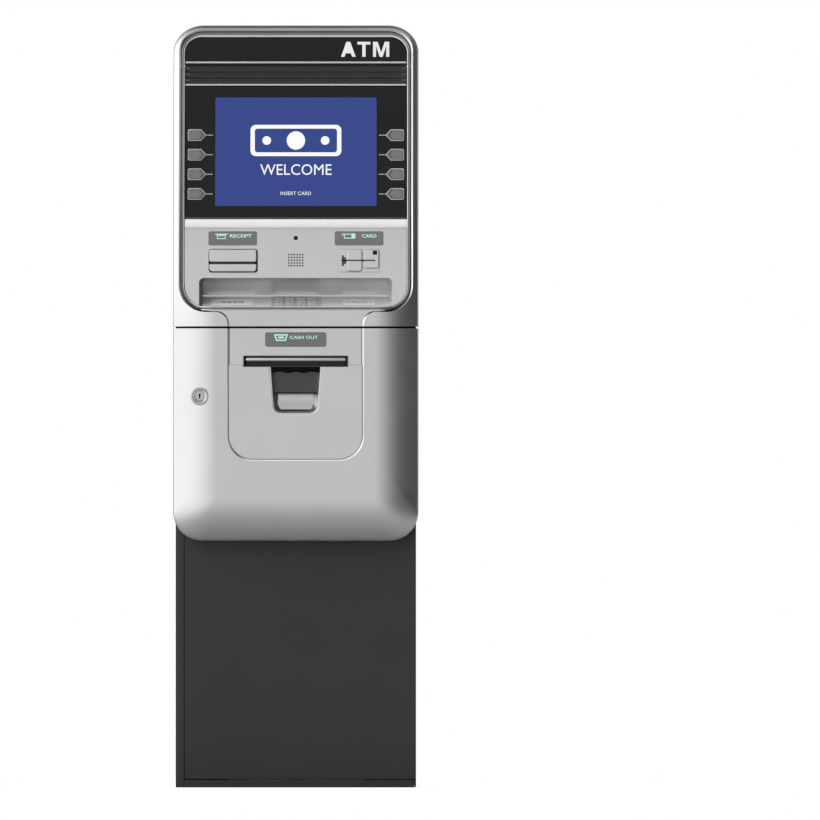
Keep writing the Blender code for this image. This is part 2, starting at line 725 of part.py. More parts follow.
def corner_path(inset_side, inset_top, side_steps, corner_steps):
    """Line parallel to the fascia's outline, from its lower left flare over the top to the right."""
    rim_r = FLARE_R + RIM - inset_side
    centre = (-(FASCIA_HALF - RIM) + FLARE_R, s_at(FLARE_TOP_Z))
    path = [(x, s, 1 - i / 5) for i, (x, s) in enumerate(arc(*centre, rim_r, 270, 180, 5))]
    stop = TOP_S - CORNER_R
    for i in range(1, side_steps + 1):
        s = centre[1] + (stop - centre[1]) * i / side_steps
        path.append((-FASCIA_HALF + inset_side, s, 0.0))
    for i in range(1, corner_steps + 1):
        t = i / corner_steps
        turn = math.radians(180 - 90 * t)
        inset = inset_side + (inset_top - inset_side) * t
        x = -FASCIA_HALF + CORNER_R + (CORNER_R - inset) * math.cos(turn)
        path.append((x, stop + (CORNER_R - inset) * math.sin(turn), 0.0))
    return path + [(-x, s, t) for x, s, t in reversed(path)]


def build_trim():
    """Sloping bead between the fascia's rim and its inner panels; it climbs to the tray's lip."""
    start = RIM + CHAMFER + 0.6
    sections = []
    outside = corner_path(start, start, 8, 5)
    inside = corner_path(TRIM_SIDE, TRIM_TOP, 8, 5)
    for (x0, s0, t0), (x1, s1, t1) in zip(outside, inside):
        high = 2.0 + 14.2 * t0**1.5
        low = 0.3 + 10.0 * t0**2
        section = [(x0, s0, low - 4.5), (x0, s0, high), (x0 + (x1 - x0) * 0.2, s0 + (s1 - s0) * 0.2, high)]
        section += [(x1, s1, low), (x1, s1, low - 4.5)]
        sections.append([bent(*p) for p in section])
    trim = add_object("display_trim", loft(sections), "silver", "fascia")
    for z0, z1 in ((LOUVER_TOP_Z + 0.6, LOUVER_TOP_Z + 5.2), (DISPLAY_TOP_Z + 0.8, DISPLAY_TOP_Z + 2.6)):
        bar = [(s_at(z0), 0.4), (s_at(z0), 1.4), (s_at(z1), 1.4), (s_at(z1), 0.4)]
        join(trim, loft([[bent(x, a, h) for a, h in bar] for x in (-207.5, 207.5)]))


def panel_plane(z, h=2.0):
    """A flat face that touches the curved service panel at height z."""
    s = s_at(z, h)
    point = bent(0, s, h)
    return plane(point[1], point[2], math.degrees(s / LINE_R))


def build_service_panel():
    half = FASCIA_HALF - TRIM_SIDE - FIT
    low_r = FLARE_R + RIM - TRIM_SIDE - 2 * FIT
    centre_x = FASCIA_HALF - RIM - FLARE_R
    tray = TRAY_HALF + 3.0
    top = DISPLAY_BOTTOM_Z - 0.6
    ear = [p for p in arc(centre_x, FLARE_TOP_Z, low_r, 0, -90, 6) if p[0] > tray]
    right = [(half, top), (half, FLARE_TOP_Z + 10), *ear, (tray, ear[-1][1] - 2), (tray, TRAY_TOP_Z + 1)]
    outline = right + [(-x, z) for x, z in reversed(right)]
    strip = []
    for i in range(9):
        s = s_at(870) + (s_at(1060) - s_at(870)) * i / 8
        strip.append([bent(x, s, h) for x, h in ((-215, -1), (215, -1), (215, 2), (-215, 2))])
    panel = add_object("service_panel", loft(strip), "silver", "fascia")
    combine(panel, "INTERSECT", extrude(outline, -220, -60, along_y))
    face = panel_plane(RECEIPT_Z)
    cut(
        panel,
        extrude(round_rect(RECEIPT_X - 41, RECEIPT_X + 41, -19, 19, 3), -12, 12, face),
        extrude(round_rect(CARD_X - 33, CARD_X + 35, -19, 19, 3), -12, 12, face),
        extrude(circle(0, 0, 3.6, 12), -12, 12, panel_plane(1014.7)),
    )
    grille = panel_plane(974.0)
    for i in range(6):
        for j in range(5):
            cut(panel, extrude(circle(4.6 * (i - 2.5), 4.6 * (j - 2), 1.15, 6), -12, 12, grille))


def build_receipt_unit():
    face = panel_plane(RECEIPT_Z)
    outer = round_rect(RECEIPT_X - 45, RECEIPT_X + 45, -22, 22, 5)
    bezel = add_object("receipt_bezel", extrude(outer, 0.5, 3.0, face), "silver", "fascia")
    inner = round_rect(RECEIPT_X - 40, RECEIPT_X + 40, -18, 18, 3)
    join(bezel, extrude(inner, -16, 1.5, face))
    cut(bezel, extrude(rectangle(RECEIPT_X - 42, RECEIPT_X + 42, -7, -1), -20, 8, face))
    case = box(-172, -62, -118, -42, 950, 1035)
    body = add_object("receipt_printer", case, "dark_plastic", "fascia")
    cut(body, box(-166, -68, -100, -36, 990, 1040))
    roll_y, roll_z = -66.0, 1018.0
    join(body, extrude(circle(roll_y, roll_z, 5.72, 12), -167, -67, along_x))
    make_body("paper_roll", (-117, roll_y, roll_z), "fascia")
    paper = extrude(circle(roll_y, roll_z, 24, 20), -160, -74, along_x)
    roll = add_object("paper_roll", paper, "paper", "paper_roll")
    cut(roll, extrude(circle(roll_y, roll_z, 6, 12), -170, -60, along_x))


def build_card_reader():
    face = panel_plane(CARD_Z)
    plate = round_rect(CARD_X - 37, CARD_X + 38, -22, 22, 3)
    reader = add_object("card_reader", extrude(plate, 0.5, 2.4, face), "silver", "fascia")
    join(
        reader,
        extrude(round_rect(CARD_X - 32, CARD_X + 34, -18, 18, 2), -45, 1.5, face),
        extrude(round_rect(CARD_X - 22, CARD_X + 5, -21, 21, 3), 1.5, 11, face),
        extrude(round_rect(CARD_X + 8, CARD_X + 37, -15, 20, 2), 1.5, 7, face),
    )
    cut(reader, extrude(rectangle(CARD_X - 27.5, CARD_X + 28, -1.2, 1.2), -42, 15, face))


def tray_section():
    """Side view of the hand space above the shelf."""
    y0, z0 = SHELF_REAR
    y1, z1 = TRAY_BACK_TOP
    back = [(y0, z0), (y0 + 1.5, z0 + 3.0), (y1, z1), (y1 - 4, z1 + 2.0)]
    return [(LIP_Y, LIP_Z), *back, (-168, TRAY_TOP_Z)]


def build_tray():
    half = TRAY_HALF
    block = [(LIP_Y + 1, LIP_Z - 3.0), (-103.0, 901.5), (-97.5, 905.0), (-119.0, 944.0), (-163.4, 944.0)]
    block += [(-165.6, 930.0), (-172.0, 889.0)]
    tray = add_object("tray_shelf", extrude(block, -half - 2.5, half + 2.5, along_x), "silver", "fascia")
    space = [(-230, LIP_Z - 8), (LIP_Y, LIP_Z), *tray_section()[1:5], (-164.5, TRAY_TOP_Z + 0.01)]
    space += [(-200, TRAY_TOP_Z + 0.01), (-230, 930)]
    cut(tray, extrude(space, -half, half, along_x))
    ring = [(x, z) for x, z in arc(FASCIA_HALF - RIM - FLARE_R, FLARE_TOP_Z, 38.9, 270, 360, 6)]
    outside = [(FASCIA_HALF - RIM - FLARE_R - 0.6, ring[0][1]), *ring, (300, FLARE_TOP_Z), (300, 850)]
    outside += [(FASCIA_HALF - RIM - FLARE_R - 0.6, 850)]
    cut(tray, extrude(outside, -200, -80, along_y))
    cut(tray, extrude([(-x, z) for x, z in outside], -200, -80, along_y))
    neck = APRON_HALF - CHAMFER - FIT
    reach = FASCIA_HALF - RIM - FLARE_R - 0.6
    low = FLARE_TOP_Z - FLARE_R + CHAMFER + FIT + 0.6
    inner_r = NECK_R + CHAMFER
    right = [(neck, FASCIA_BOTTOM + 0.2), *arc(neck + inner_r, low - inner_r, inner_r, 180, 90, 5)]
    right += [(reach, low), (reach, LIP_Z)]
    outline = right + [(-x, z) for x, z in reversed(right)]
    apron = extrude(outline, APRON_FRONT, APRON_FRONT + 8, along_y)
    join(tray, apron)
    bevel = [(APRON_FRONT - 1, 877.5), (LIP_Y, LIP_Z + 0.01)]
    bevel += [(LIP_Y, LIP_Z + 2), (APRON_FRONT - 1, LIP_Z + 2)]
    cut(tray, extrude(bevel, -200, 200, along_x))
    cut(tray, keypad_well())


def shelf_plane():
    tilt = math.degrees(math.atan2(SHELF_REAR[1] - LIP_Z, SHELF_REAR[0] - LIP_Y))
    middle = ((SHELF_REAR[0] + LIP_Y) / 2, (SHELF_REAR[1] + LIP_Z) / 2)
    return plane(middle[0], middle[1], 90 - tilt), tilt


def keypad_well():
    place, tilt = shelf_plane()
    return extrude(round_rect(-43.9, 43.9, -36.5, 39, 3), -12, 6, place)


def build_keypad():
    place, tilt = shelf_plane()
    frame = extrude(round_rect(-46, 46, -38.5, 41, 3.5), 0.3, 1.3, place)
    housing = add_object("keypad_housing", frame, "steel", "fascia")
    join(housing, extrude(round_rect(-43.4, 43.4, -36, 38.5, 2.5), -11, 1.0, place))
    for column in range(4):
        for row in range(4):
            x = PIN_PITCH * (column - 1.5)
            b = 19.2 * (1.5 - row) + 1.2
            pocket = round_rect(x - PIN_KEY / 2 - 0.5, x + PIN_KEY / 2 + 0.5, b - 8.3, b + 8.3, 2.4, 2)
            cut(housing, extrude(pocket, -8.5, 3, place))
            name = f"pin_key_{row * 4 + column + 1:02d}"
            make_body(name, place(x, b, 0), "fascia")
            cap = round_rect(x - PIN_KEY / 2, x + PIN_KEY / 2, b - 7.8, b + 7.8, 2.0, 2)
            key = loft([[place(a, c, h) for a, c in cap] for h in (-5.5, 2.6)])
            add_object(name, key, "steel", name)


def build_labels():
    """Smoked light lens over the cash slot."""
    outline = round_rect(-56.5, 56.5, 814.0, 840.8, 4, 3)
    lens = extrude(outline, APRON_FRONT - 2.2, APRON_FRONT - 0.4, along_y)
    add_object("cash_label", lens, "label", "lower_bezel")


def build_top_lock():
    barrel = extrude(circle(0, 122, 9.2, 16), TOP_Z - 14, TOP_Z + 6.5, along_z)
    lock = add_object("top_lock_cylinder", barrel, "steel", "top_lock")
    join(lock, box(-4, 26, 118, 126, TOP_Z - 14, TOP_Z - 11))
    cut(lock, box(-4.5, 4.5, 121.1, 122.9, TOP_Z + 1, TOP_Z + 10))


def make_bodies():
    make_body("cabinet")
    make_body("cash_cassette", (0, -80, 450))
    make_body("vault_door", (*VAULT_HINGE, 0))
    make_body("vault_handle", (HANDLE[0], DOOR_FRONT, HANDLE[1]), "vault_door")
    make_body("combination_dial", (DIAL[0], DOOR_FRONT, DIAL[1]), "vault_door")
    make_body("bolt_bar", (-180, BOLT_Y, BOLT_Z[1]), "vault_door")
    make_body("lower_bezel", (*BEZEL_HINGE, 0), "vault_door")
    make_body("bezel_lock", (LOCK[0], FRONT_LINE, LOCK[1]), "lower_bezel")
    make_body("fascia", (0, *FASCIA_AXIS))
    make_body("top_lock", (0, 122, TOP_Z))


def main():
    clear_scene()
    make_materials()
    make_bodies()
    build_cabinet_shell()
    build_cabinet_plates()
    build_fascia_hinge()
    build_dispenser()
    build_vault_hinge()
    build_vault_door()
    build_vault_handle()
    build_dial()
    build_bolt_bar()
    build_bezel_hinges()
    build_lower_bezel()
    build_cash_panel()
    build_cash_slot()
    build_bezel_lock()
    build_fascia_shell()
    build_header()
    build_display()
    build_function_keys()
    build_trim()
    build_service_panel()
    build_receipt_unit()
    build_card_reader()
    build_tray()
    build_keypad()
    build_labels()
    build_top_lock()


main()
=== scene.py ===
"""Looks of the cash machine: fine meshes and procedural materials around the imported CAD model.

Lengths in this file are in millimetres and angles in degrees; make_object turns them into metres.
+X is the customer's right, -Y the front and +Z up, as in the CAD model.
"""

import json
import math

import bmesh
import bpy
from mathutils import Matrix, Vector
from mathutils.geometry import delaunay_2d_cdt

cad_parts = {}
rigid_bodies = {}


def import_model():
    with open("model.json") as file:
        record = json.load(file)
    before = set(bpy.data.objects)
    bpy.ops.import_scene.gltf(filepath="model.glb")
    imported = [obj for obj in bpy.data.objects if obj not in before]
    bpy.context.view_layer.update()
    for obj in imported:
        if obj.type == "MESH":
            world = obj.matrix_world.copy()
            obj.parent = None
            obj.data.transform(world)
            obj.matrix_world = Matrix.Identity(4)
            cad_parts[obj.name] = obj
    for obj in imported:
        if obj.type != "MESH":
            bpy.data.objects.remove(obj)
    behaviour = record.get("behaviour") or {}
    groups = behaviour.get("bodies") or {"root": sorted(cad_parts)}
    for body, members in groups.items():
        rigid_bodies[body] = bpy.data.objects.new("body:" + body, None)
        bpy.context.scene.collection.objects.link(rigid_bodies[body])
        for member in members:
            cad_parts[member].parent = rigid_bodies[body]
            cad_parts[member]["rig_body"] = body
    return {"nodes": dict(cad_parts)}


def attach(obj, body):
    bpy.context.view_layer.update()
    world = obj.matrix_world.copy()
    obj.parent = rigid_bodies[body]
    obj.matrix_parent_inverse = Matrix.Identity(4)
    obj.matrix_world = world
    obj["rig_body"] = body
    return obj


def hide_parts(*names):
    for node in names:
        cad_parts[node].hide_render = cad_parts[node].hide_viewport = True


MM = 0.001

# Sizes shared with the CAD model
DEPTH = 386.6
FRONT = -DEPTH / 2
BACK = DEPTH / 2
CABINET_HALF = 222.0
FASCIA_HALF = 226.5
SHEET = 2.5
REAR_CORNER_R = 31.0
DOOR_FRONT = -122.6
SPLIT_Z = 849.5
TOP_Z = 1333.0
JAMB_X = -207.0
CURVE_START_Z = 838.0
WALL_DEPTH = 50.0
TILT = 24.6
LINE_R = 771.5
CURVE_Y = 598.9
ARC_LENGTH = LINE_R * math.radians(TILT)
FRONT_LINE = CURVE_Y - LINE_R
FASCIA_BOTTOM = 851.5
TOP_S = 607.1235
SKIN = 3.0
CROWN_WIDTH = 80.0
CROWN_DEPTH = 20.7
CROWN_POWER = 3.0
CORNER_R = 55.5
RIM = 10.5
CHAMFER = 3.0
CHAMFER_DROP = 2.9
APRON_HALF = 125.5
FLARE_R = 50.0
FLARE_TOP_Z = 927.0
NECK_R = 22.0
FLANGE = 8.0
BEZEL_BOTTOM = 455.0
BEZEL_TOP = 848.0
BEZEL_REAR = -124.4
APRON_BOTTOM = 604.0
APRON_R = 46.0
APRON_FRONT = FRONT + 2.5
TRIM_SIDE = 20.9
TRIM_TOP = 25.2
LOUVER_TOP_Z = 1337.0
LOUVRE_RIDGES = (1306.0, 1317.0, 1328.0)
DISPLAY_TOP_Z = 1296.0
DISPLAY_BOTTOM_Z = 1052.5
SCREEN_HALF = 149.0
SCREEN_TOP_Z = 1276.8
SCREEN_BOTTOM_Z = 1074.3
FUNCTION_ROWS = (1205.4, 1169.1, 1132.9, 1096.4)
TRAY_HALF = 178.4
TRAY_TOP_Z = 941.0
LIP_Y, LIP_Z = -184.0, 885.0
SHELF_REAR = (-103.0, 905.5)
TRAY_BACK_TOP = (-122.0, 938.0)
PIN_PITCH = 20.5
RECEIPT_X, RECEIPT_Z = -116.0, 973.0
CARD_X, CARD_Z = 117.0, 973.0
PANEL_ROLL, ROLL_DEPTH = 27.0, 6.6
MOUTH_R = 9.0
EDGE_R = 5.0
EDGE_TURNS = (90, 80, 70, 60, 50, 40, 32)
SLOT_HALF = 96.0
SLOT_LOW, SLOT_HIGH = 777.7, 796.8
WELL_TOP_HALF, WELL_LOW_HALF = 46.0, 40.6
WELL_BOTTOM = 692.0
LOCK = (-177.4, 723.0)
LOCK_FRONT = FRONT + 0.25
SCOOPS = ((-172, -66), (-48, 48), (75, 156))

# Rings of the floor disc, which fades out towards the last one
FLOOR_RADII = (5, 500, 1200, 2600)
FLOOR_Z = -0.4
FLOOR_SEEN = (0.16, 0.16, 0.16, 1)
FLOOR_GLOW = 0.5

# Brightness of the surroundings by compass direction, 0 in front, -90 at the left and 90 at the right
ROUND = (
    (-180, 0.1), (-150, 0.08), (-122, 0.25), (-110, 1.3), (-60, 1.6), (-38, 1.6), (-26, 1.5), (-14, 1.22),
    (-6, 0.98), (0, 0.88), (6, 0.78), (13, 0.56), (22, 0.24), (30, 0.06), (40, 0.01), (70, 0.0),
    (80, 0.04), (86, 1.0), (95, 1.0), (103, 0.2), (125, 0.12), (150, 0.25), (180, 0.1),
)
# Share of that brightness left at each height of the direction, the same up and down
HEIGHT = ((0.5, 1.0), (0.6, 0.82), (0.66, 0.54), (0.74, 0.24), (0.92, 0.1))
# The lamp overhead, by angle up from the front and over to the back
OVERHEAD = ((0.0, 0.0), (46, 0.0), (50, 0.08), (58, 1.6), (80, 1.6), (91, 0.0), (180, 0.0))
# Brightness seen below the horizon, by how far down the direction points
GROUND = ((0.3, 0.56), (0.75, 0.27), (1.0, 0.2))
# The ramps hold each brightness divided by this, and the shader multiplies by it again
SURROUND_STRENGTH = 3.0

# Soft lights: name, place, power, size (metres and watts); gloss comes from the surroundings alone
LIGHTS = (
    ("key", (-2.6, -3.6, 2.3), 23, 2.6),
    ("side", (4.2, 0.6, 1.6), 165, 2.4),
    ("rear", (-1.2, 4.2, 2.2), 110, 2.4),
)
LAMP_AIM = (0, 0, 0.8)

# Camera: a long lens far away, for a view close to a parallel projection
CAMERA_LENS = 1500.0
CAMERA_DISTANCE = 63250.0
CAMERA_AIM = (210.9, 0.0, 697.3)

# CAD shapes that keep their form: node, material, bevel in mm and, on some, its segments
REFINED = (
    ("base_plate", "charcoal", 0.6),
    ("top_panel", "charcoal", 0.8),
    ("vault_ceiling", "charcoal", 0.5),
    ("vault_door", "charcoal", 1.4, 3),
    ("fascia_hinge_bracket", "zinc", 0.5),
    ("vault_hinge_rod", "steel_upright", 0.3),
    ("bezel_hinge_upper", "steel_upright", 0.4),
    ("bezel_hinge_lower", "steel_upright", 0.4),
    ("cable_grommet", "rubber", 0.6),
    ("vault_handle", "steel_upright", 1.6, 3),
    ("combination_dial", "steel", 0.4),
    ("bolt_bar", "steel_upright", 0.5),
    ("cash_dispenser", "zinc", 0.8),
    ("cash_cassette", "dark_plastic", 1.5, 3),
    ("control_unit", "zinc", 0.8),
    ("top_lock_cylinder", "steel", 0.5),
)

# The record's material slot behind each material here
SLOTS = {
    "silver_moulding": ("silver", "silver_painted_shade", "bead", "tray", "shelf", "tray_painted_shade"),
    "charcoal_coat": ("charcoal",),
    "gloss_black": ("gloss_black", "louvre", "black_gloss"),
    "screen_glass": ("screen_blue", "screen_white"),
    "bare_steel": ("steel", "steel_upright", "lock_steel"),
    "zinc_plate": ("zinc",),
    "dark_plastic": ("dark_plastic", "duct", "black"),
    "rubber": ("rubber",),
    "paper": ("paper",),
    "smoked_lens": ("label", "label_glow"),
    "grey_key": ("key_face", "key_rim", "pin_face"),
}

MATERIALS = {}

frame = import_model()


# Material helpers


class Nodes:
    """Small helper around one material's or world's node tree."""

    def __init__(self, tree):
        self.tree = tree

    def add(self, kind, **settings):
        node = self.tree.nodes.new(kind)
        for key, value in settings.items():
            setattr(node, key, value)
        return node

    def link(self, source, target):
        self.tree.links.new(source, target)

    def fill(self, sockets, values):
        """Gives each socket its plain value or its link."""
        for socket, value in zip(sockets, values):
            if isinstance(value, (int, float, tuple)):
                socket.default_value = value
            elif value:
                self.link(value, socket)

    def math(self, operation, a, b=None, c=None):
        node = self.add("ShaderNodeMath", operation=operation)
        self.fill(node.inputs, (a, b, c))
        return node.outputs[0]

    def mix(self, factor, a, b, blend="MIX"):
        node = self.add("ShaderNodeMix", data_type="RGBA", blend_type=blend)
        self.fill((node.inputs["Factor"], node.inputs[6], node.inputs[7]), (factor, a, b))
        return node.outputs[2]

    def mix_shader(self, factor, a, b):
        node = self.add("ShaderNodeMixShader")
        self.fill(node.inputs, (factor, a, b))
        return node.outputs[0]

    def ramp(self, factor, stops, interpolation="LINEAR"):
        node = self.add("ShaderNodeValToRGB")
        node.color_ramp.interpolation = interpolation
        elements = node.color_ramp.elements
        while len(elements) < len(stops):
            elements.new(0.5)
        for element, (position, value) in zip(elements, sorted(stops)):
            element.position = position
            colour = value if isinstance(value, tuple) else (value, value, value)
            element.color = (*colour, 1)
        self.link(factor, node.inputs["Fac"])
        return node.outputs["Color"]

    def noise(self, scale, detail=2.0, stretch=(1, 1, 1)):
        place = self.add("ShaderNodeTexCoord")
        mapping = self.add("ShaderNodeMapping")
        mapping.inputs["Scale"].default_value = stretch
        self.link(place.outputs["Object"], mapping.inputs["Vector"])
        node = self.add("ShaderNodeTexNoise")
        node.inputs["Scale"].default_value = scale
        node.inputs["Detail"].default_value = detail
        self.link(mapping.outputs["Vector"], node.inputs["Vector"])
        return node.outputs["Fac"]

    def bump(self, height, distance, strength=1.0, below=None):
        node = self.add("ShaderNodeBump")
        node.inputs["Distance"].default_value = distance * MM
        node.inputs["Strength"].default_value = strength
        self.link(height, node.inputs["Height"])
        if below:
            self.link(below, node.inputs["Normal"])
        return node.outputs["Normal"]


def shaded(name, colour, roughness, metallic=0.0, specular=0.5):
    """A new material with its Principled shader's plain values set."""
    material = bpy.data.materials.new(name)
    material.use_nodes = True
    shader = material.node_tree.nodes["Principled BSDF"]
    shader.inputs["Base Color"].default_value = (*colour, 1)
    shader.inputs["Roughness"].default_value = roughness
    shader.inputs["Metallic"].default_value = metallic
    shader.inputs["Specular IOR Level"].default_value = specular
    MATERIALS[name] = material
    return Nodes(material.node_tree), shader


def vary(nodes, shader, colour, spread, scale, rough, rough_spread):
    """Slow variation of colour and roughness, as paint and plastic have."""
    noise = nodes.noise(scale, 4)
    low = tuple(c * (1 - spread) for c in colour)
    high = tuple(min(1.0, c * (1 + spread)) for c in colour)
    nodes.link(nodes.ramp(noise, [(0.3, low), (0.7, high)]), shader.inputs["Base Color"])
    other = nodes.noise(scale * 2.3, 5)
    nodes.link(
        nodes.ramp(other, [(0.3, rough - rough_spread), (0.7, rough + rough_spread)]),
        shader.inputs["Roughness"],
    )


def silver_paint(name, colour, roughness, metallic, spread=0.015):
    """Metallic paint: fine flakes that tilt the normal, and the faint waviness of a sprayed coat."""
    nodes, shader = shaded(name, colour, roughness, metallic)
    vary(nodes, shader, colour, 0.015, 9, roughness, spread)
    peel = nodes.bump(nodes.noise(90, 2), 0.008, 0.2)
    flakes = nodes.bump(nodes.noise(2600, 1), 0.003, 0.12, peel)
    nodes.link(flakes, shader.inputs["Normal"])


def powder_coat(name, colour, roughness):
    """Baked powder: a tight, pebbled surface with a dull sheen, rubbed a little paler at its edges."""
    nodes, shader = shaded(name, colour, roughness)
    vary(nodes, shader, colour, 0.06, 5, roughness, 0.03)
    coat = shader.inputs["Base Color"].links[0].from_socket
    rounded = nodes.add("ShaderNodeBevel", samples=4)
    rounded.inputs["Radius"].default_value = 1.2 * MM
    turned = nodes.add("ShaderNodeVectorMath", operation="DOT_PRODUCT")
    nodes.link(rounded.outputs["Normal"], turned.inputs[0])
    nodes.link(nodes.add("ShaderNodeNewGeometry").outputs["Normal"], turned.inputs[1])
    edges = nodes.ramp(turned.outputs["Value"], [(0.8, 1.0), (0.97, 0.0)])
    rubbed = nodes.math("MULTIPLY", edges, nodes.ramp(nodes.noise(60, 4), [(0.45, 0.0), (0.7, 0.6)]))
    bare = (*(min(1.0, c * 2.4) for c in colour), 1)
    nodes.link(nodes.mix(rubbed, coat, bare), shader.inputs["Base Color"])
    pebbles = nodes.bump(nodes.noise(900, 3), 0.06, 0.55)
    nodes.link(pebbles, shader.inputs["Normal"])


def brushed(name, colour, roughness, stretch, metallic=1.0):
    """Metal or plastic with lines brushed across it."""
    nodes, shader = shaded(name, colour, roughness, metallic)
    lines = nodes.noise(260, 3, stretch)
    low = tuple(c * 0.9 for c in colour)
    high = tuple(min(1.0, c * 1.08) for c in colour)
    nodes.link(nodes.ramp(lines, [(0.3, low), (0.7, high)]), shader.inputs["Base Color"])
    nodes.link(
        nodes.ramp(lines, [(0.25, roughness - 0.06), (0.75, roughness + 0.08)]),
        shader.inputs["Roughness"],
    )
    nodes.link(nodes.bump(lines, 0.02, 0.3), shader.inputs["Normal"])


def moulded(name, colour, roughness, grain=0.25, specular=0.5):
    """Moulded plastic with a fine grain."""
    nodes, shader = shaded(name, colour, roughness, 0.0, specular)
    vary(nodes, shader, colour, 0.05, 14, roughness, 0.04)
    nodes.link(nodes.bump(nodes.noise(1400, 2), 0.03, grain), shader.inputs["Normal"])


def glowing(name, colour, strength, roughness=0.12):
    """Lit display surface under gloss."""
    nodes, shader = shaded(name, (0.005, 0.005, 0.006), roughness, 0, 0.3)
    pixels = nodes.noise(2600, 0)
    low = tuple(c * 0.94 for c in colour)
    high = tuple(c * 1.06 for c in colour)
    nodes.link(nodes.ramp(pixels, [(0.35, low), (0.65, high)]), shader.inputs["Emission Color"])
    shader.inputs["Emission Strength"].default_value = strength


def make_materials():
    silver_paint("silver", (0.62, 0.62, 0.625), 0.3, 0.96)
    # darker copy of the silver paint: painted shade for shadow lines, shadow gaps and the rim band
    silver_paint("silver_painted_shade", (0.4, 0.4, 0.405), 0.32, 0.9)
    # brighter, glossier copy of the silver paint, for the louvre beads and, as a painted highlight, the tray
    # strip
    silver_paint("bead", (0.8, 0.8, 0.8), 0.2, 1.0)
    silver_paint("tray", (0.64, 0.64, 0.645), 0.42, 0.55)
    # lighter, more diffuse copy of the tray silver: painted light on the upward-facing shelf
    silver_paint("shelf", (0.74, 0.74, 0.745), 0.5, 0.15)
    # darker copy of the tray silver: painted shade on the tray's left side wall
    silver_paint("tray_painted_shade", (0.2, 0.2, 0.202), 0.4, 0.8)
    powder_coat("charcoal", (0.0215, 0.0215, 0.0225), 0.5)
    moulded("gloss_black", (0.011, 0.011, 0.0115), 0.045, 0.01)
    moulded("louvre", (0.01, 0.01, 0.0105), 0.09, 0.01)
    moulded("dark_plastic", (0.03, 0.03, 0.031), 0.45)
    moulded("duct", (0.05, 0.05, 0.051), 0.42)
    moulded("black", (0.004, 0.004, 0.004), 0.6, 0.25, 0.1)
    moulded("black_gloss", (0.003, 0.003, 0.003), 0.08, 0.01, 0.2)
    moulded("label", (0.17, 0.17, 0.172), 0.16, 0.03)
    moulded("pale_label", (0.88, 0.88, 0.88), 0.4, 0.05)
    moulded("grey_ink", (0.4, 0.4, 0.405), 0.4, 0.05)
    moulded("black_ink", (0.02, 0.02, 0.02), 0.4, 0.05)
    moulded("white_ink", (0.9, 0.9, 0.9), 0.5, 0.02)
    moulded("paper", (0.82, 0.82, 0.8), 0.85, 0.4)
    moulded("rubber", (0.015, 0.015, 0.015), 0.75, 0.5)
    brushed("steel", (0.56, 0.56, 0.56), 0.3, (1, 14, 14))
    brushed("lock_steel", (0.56, 0.56, 0.56), 0.34, (6, 14, 14))
    brushed("steel_upright", (0.56, 0.56, 0.56), 0.3, (14, 14, 1))
    brushed("key_face", (0.2, 0.2, 0.2), 0.36, (1, 30, 30), 0.35)
    brushed("key_rim", (0.62, 0.62, 0.62), 0.3, (1, 20, 20), 0.6)
    brushed("pin_face", (0.56, 0.56, 0.56), 0.42, (1, 14, 14), 0.2)
    brushed("zinc", (0.5, 0.51, 0.5), 0.42, (3, 3, 1), 0.85)
    glowing("screen_blue", (0.026, 0.052, 0.24), 1.0, 0.25)
    glowing("screen_white", (0.95, 0.95, 0.95), 1.0)
    glowing("label_glow", (0.5, 0.82, 0.76), 1.0)


# Mesh helpers


def make_object(name, shape, material, body, replaces=(), smooth=30):
    """One mesh object from millimetre points and faces, riding on a CAD body."""
    points, faces = shape
    mesh = bpy.data.meshes.new(name)
    mesh.from_pydata([Vector(p) * MM for p in points], [], faces)
    work = bmesh.new()
    work.from_mesh(mesh)
    bmesh.ops.remove_doubles(work, verts=work.verts, dist=1e-6)
    bmesh.ops.recalc_face_normals(work, faces=work.faces)
    work.to_mesh(mesh)
    work.free()
    return finish_object(name, mesh, material, body, replaces, smooth)


def finish_object(name, mesh, material, body, replaces=(), smooth=30):
    obj = bpy.data.objects.new(name, mesh)
    bpy.context.scene.collection.objects.link(obj)
    mesh.materials.clear()
    mesh.materials.append(MATERIALS[material])
    mesh.shade_smooth()
    mesh.set_sharp_from_angle(angle=math.radians(smooth))
    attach(obj, body)
    for slot, names in SLOTS.items():
        material in names
    if replaces:
        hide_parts(*replaces)
    return obj


def soften(obj, width, segments=2, angle=30):
    """Rounds the edges, so that they catch the light."""
    modifier = obj.modifiers.new("edges", "BEVEL")
    modifier.width = width * MM
    modifier.segments = segments
    modifier.limit_method = "ANGLE"
    modifier.angle_limit = math.radians(angle)
    modifier.harden_normals = True
    return obj


def thicken(obj, depth):
    modifier = obj.modifiers.new("wall", "SOLIDIFY")
    modifier.thickness = depth * MM
    modifier.offset = -1
    return obj


def refine(node, material, width=0.5, segments=2, angle=30):
    """A copy of a CAD node with its flat faces merged and its edges rounded."""
    source = frame["nodes"][node]
    work = bmesh.new()
    work.from_mesh(source.data)
    bmesh.ops.remove_doubles(work, verts=work.verts, dist=2e-6)
    bmesh.ops.dissolve_limit(work, angle_limit=math.radians(0.4), verts=work.verts, edges=work.edges)
    mesh = bpy.data.meshes.new(node + "_fine")
    work.to_mesh(mesh)
    work.free()
    obj = finish_object(node + "_fine", mesh, material, source["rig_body"], (node,), angle)
    if width:
        soften(obj, width, segments, angle)
    return obj


def grid(rows, closed=False, ring=False):
    """Quads over rows of equal length; closed joins each row's ends, ring the last row to the first."""
    count = len(rows[0])
    points = [p for row in rows for p in row]
    faces = []
    for i in range(len(rows) if ring else len(rows) - 1):
        near, far = i * count, (i + 1) % len(rows) * count
        for j in range(count if closed else count - 1):
            k = (j + 1) % count
            faces.append((near + j, near + k, far + k, far + j))
    return points, faces


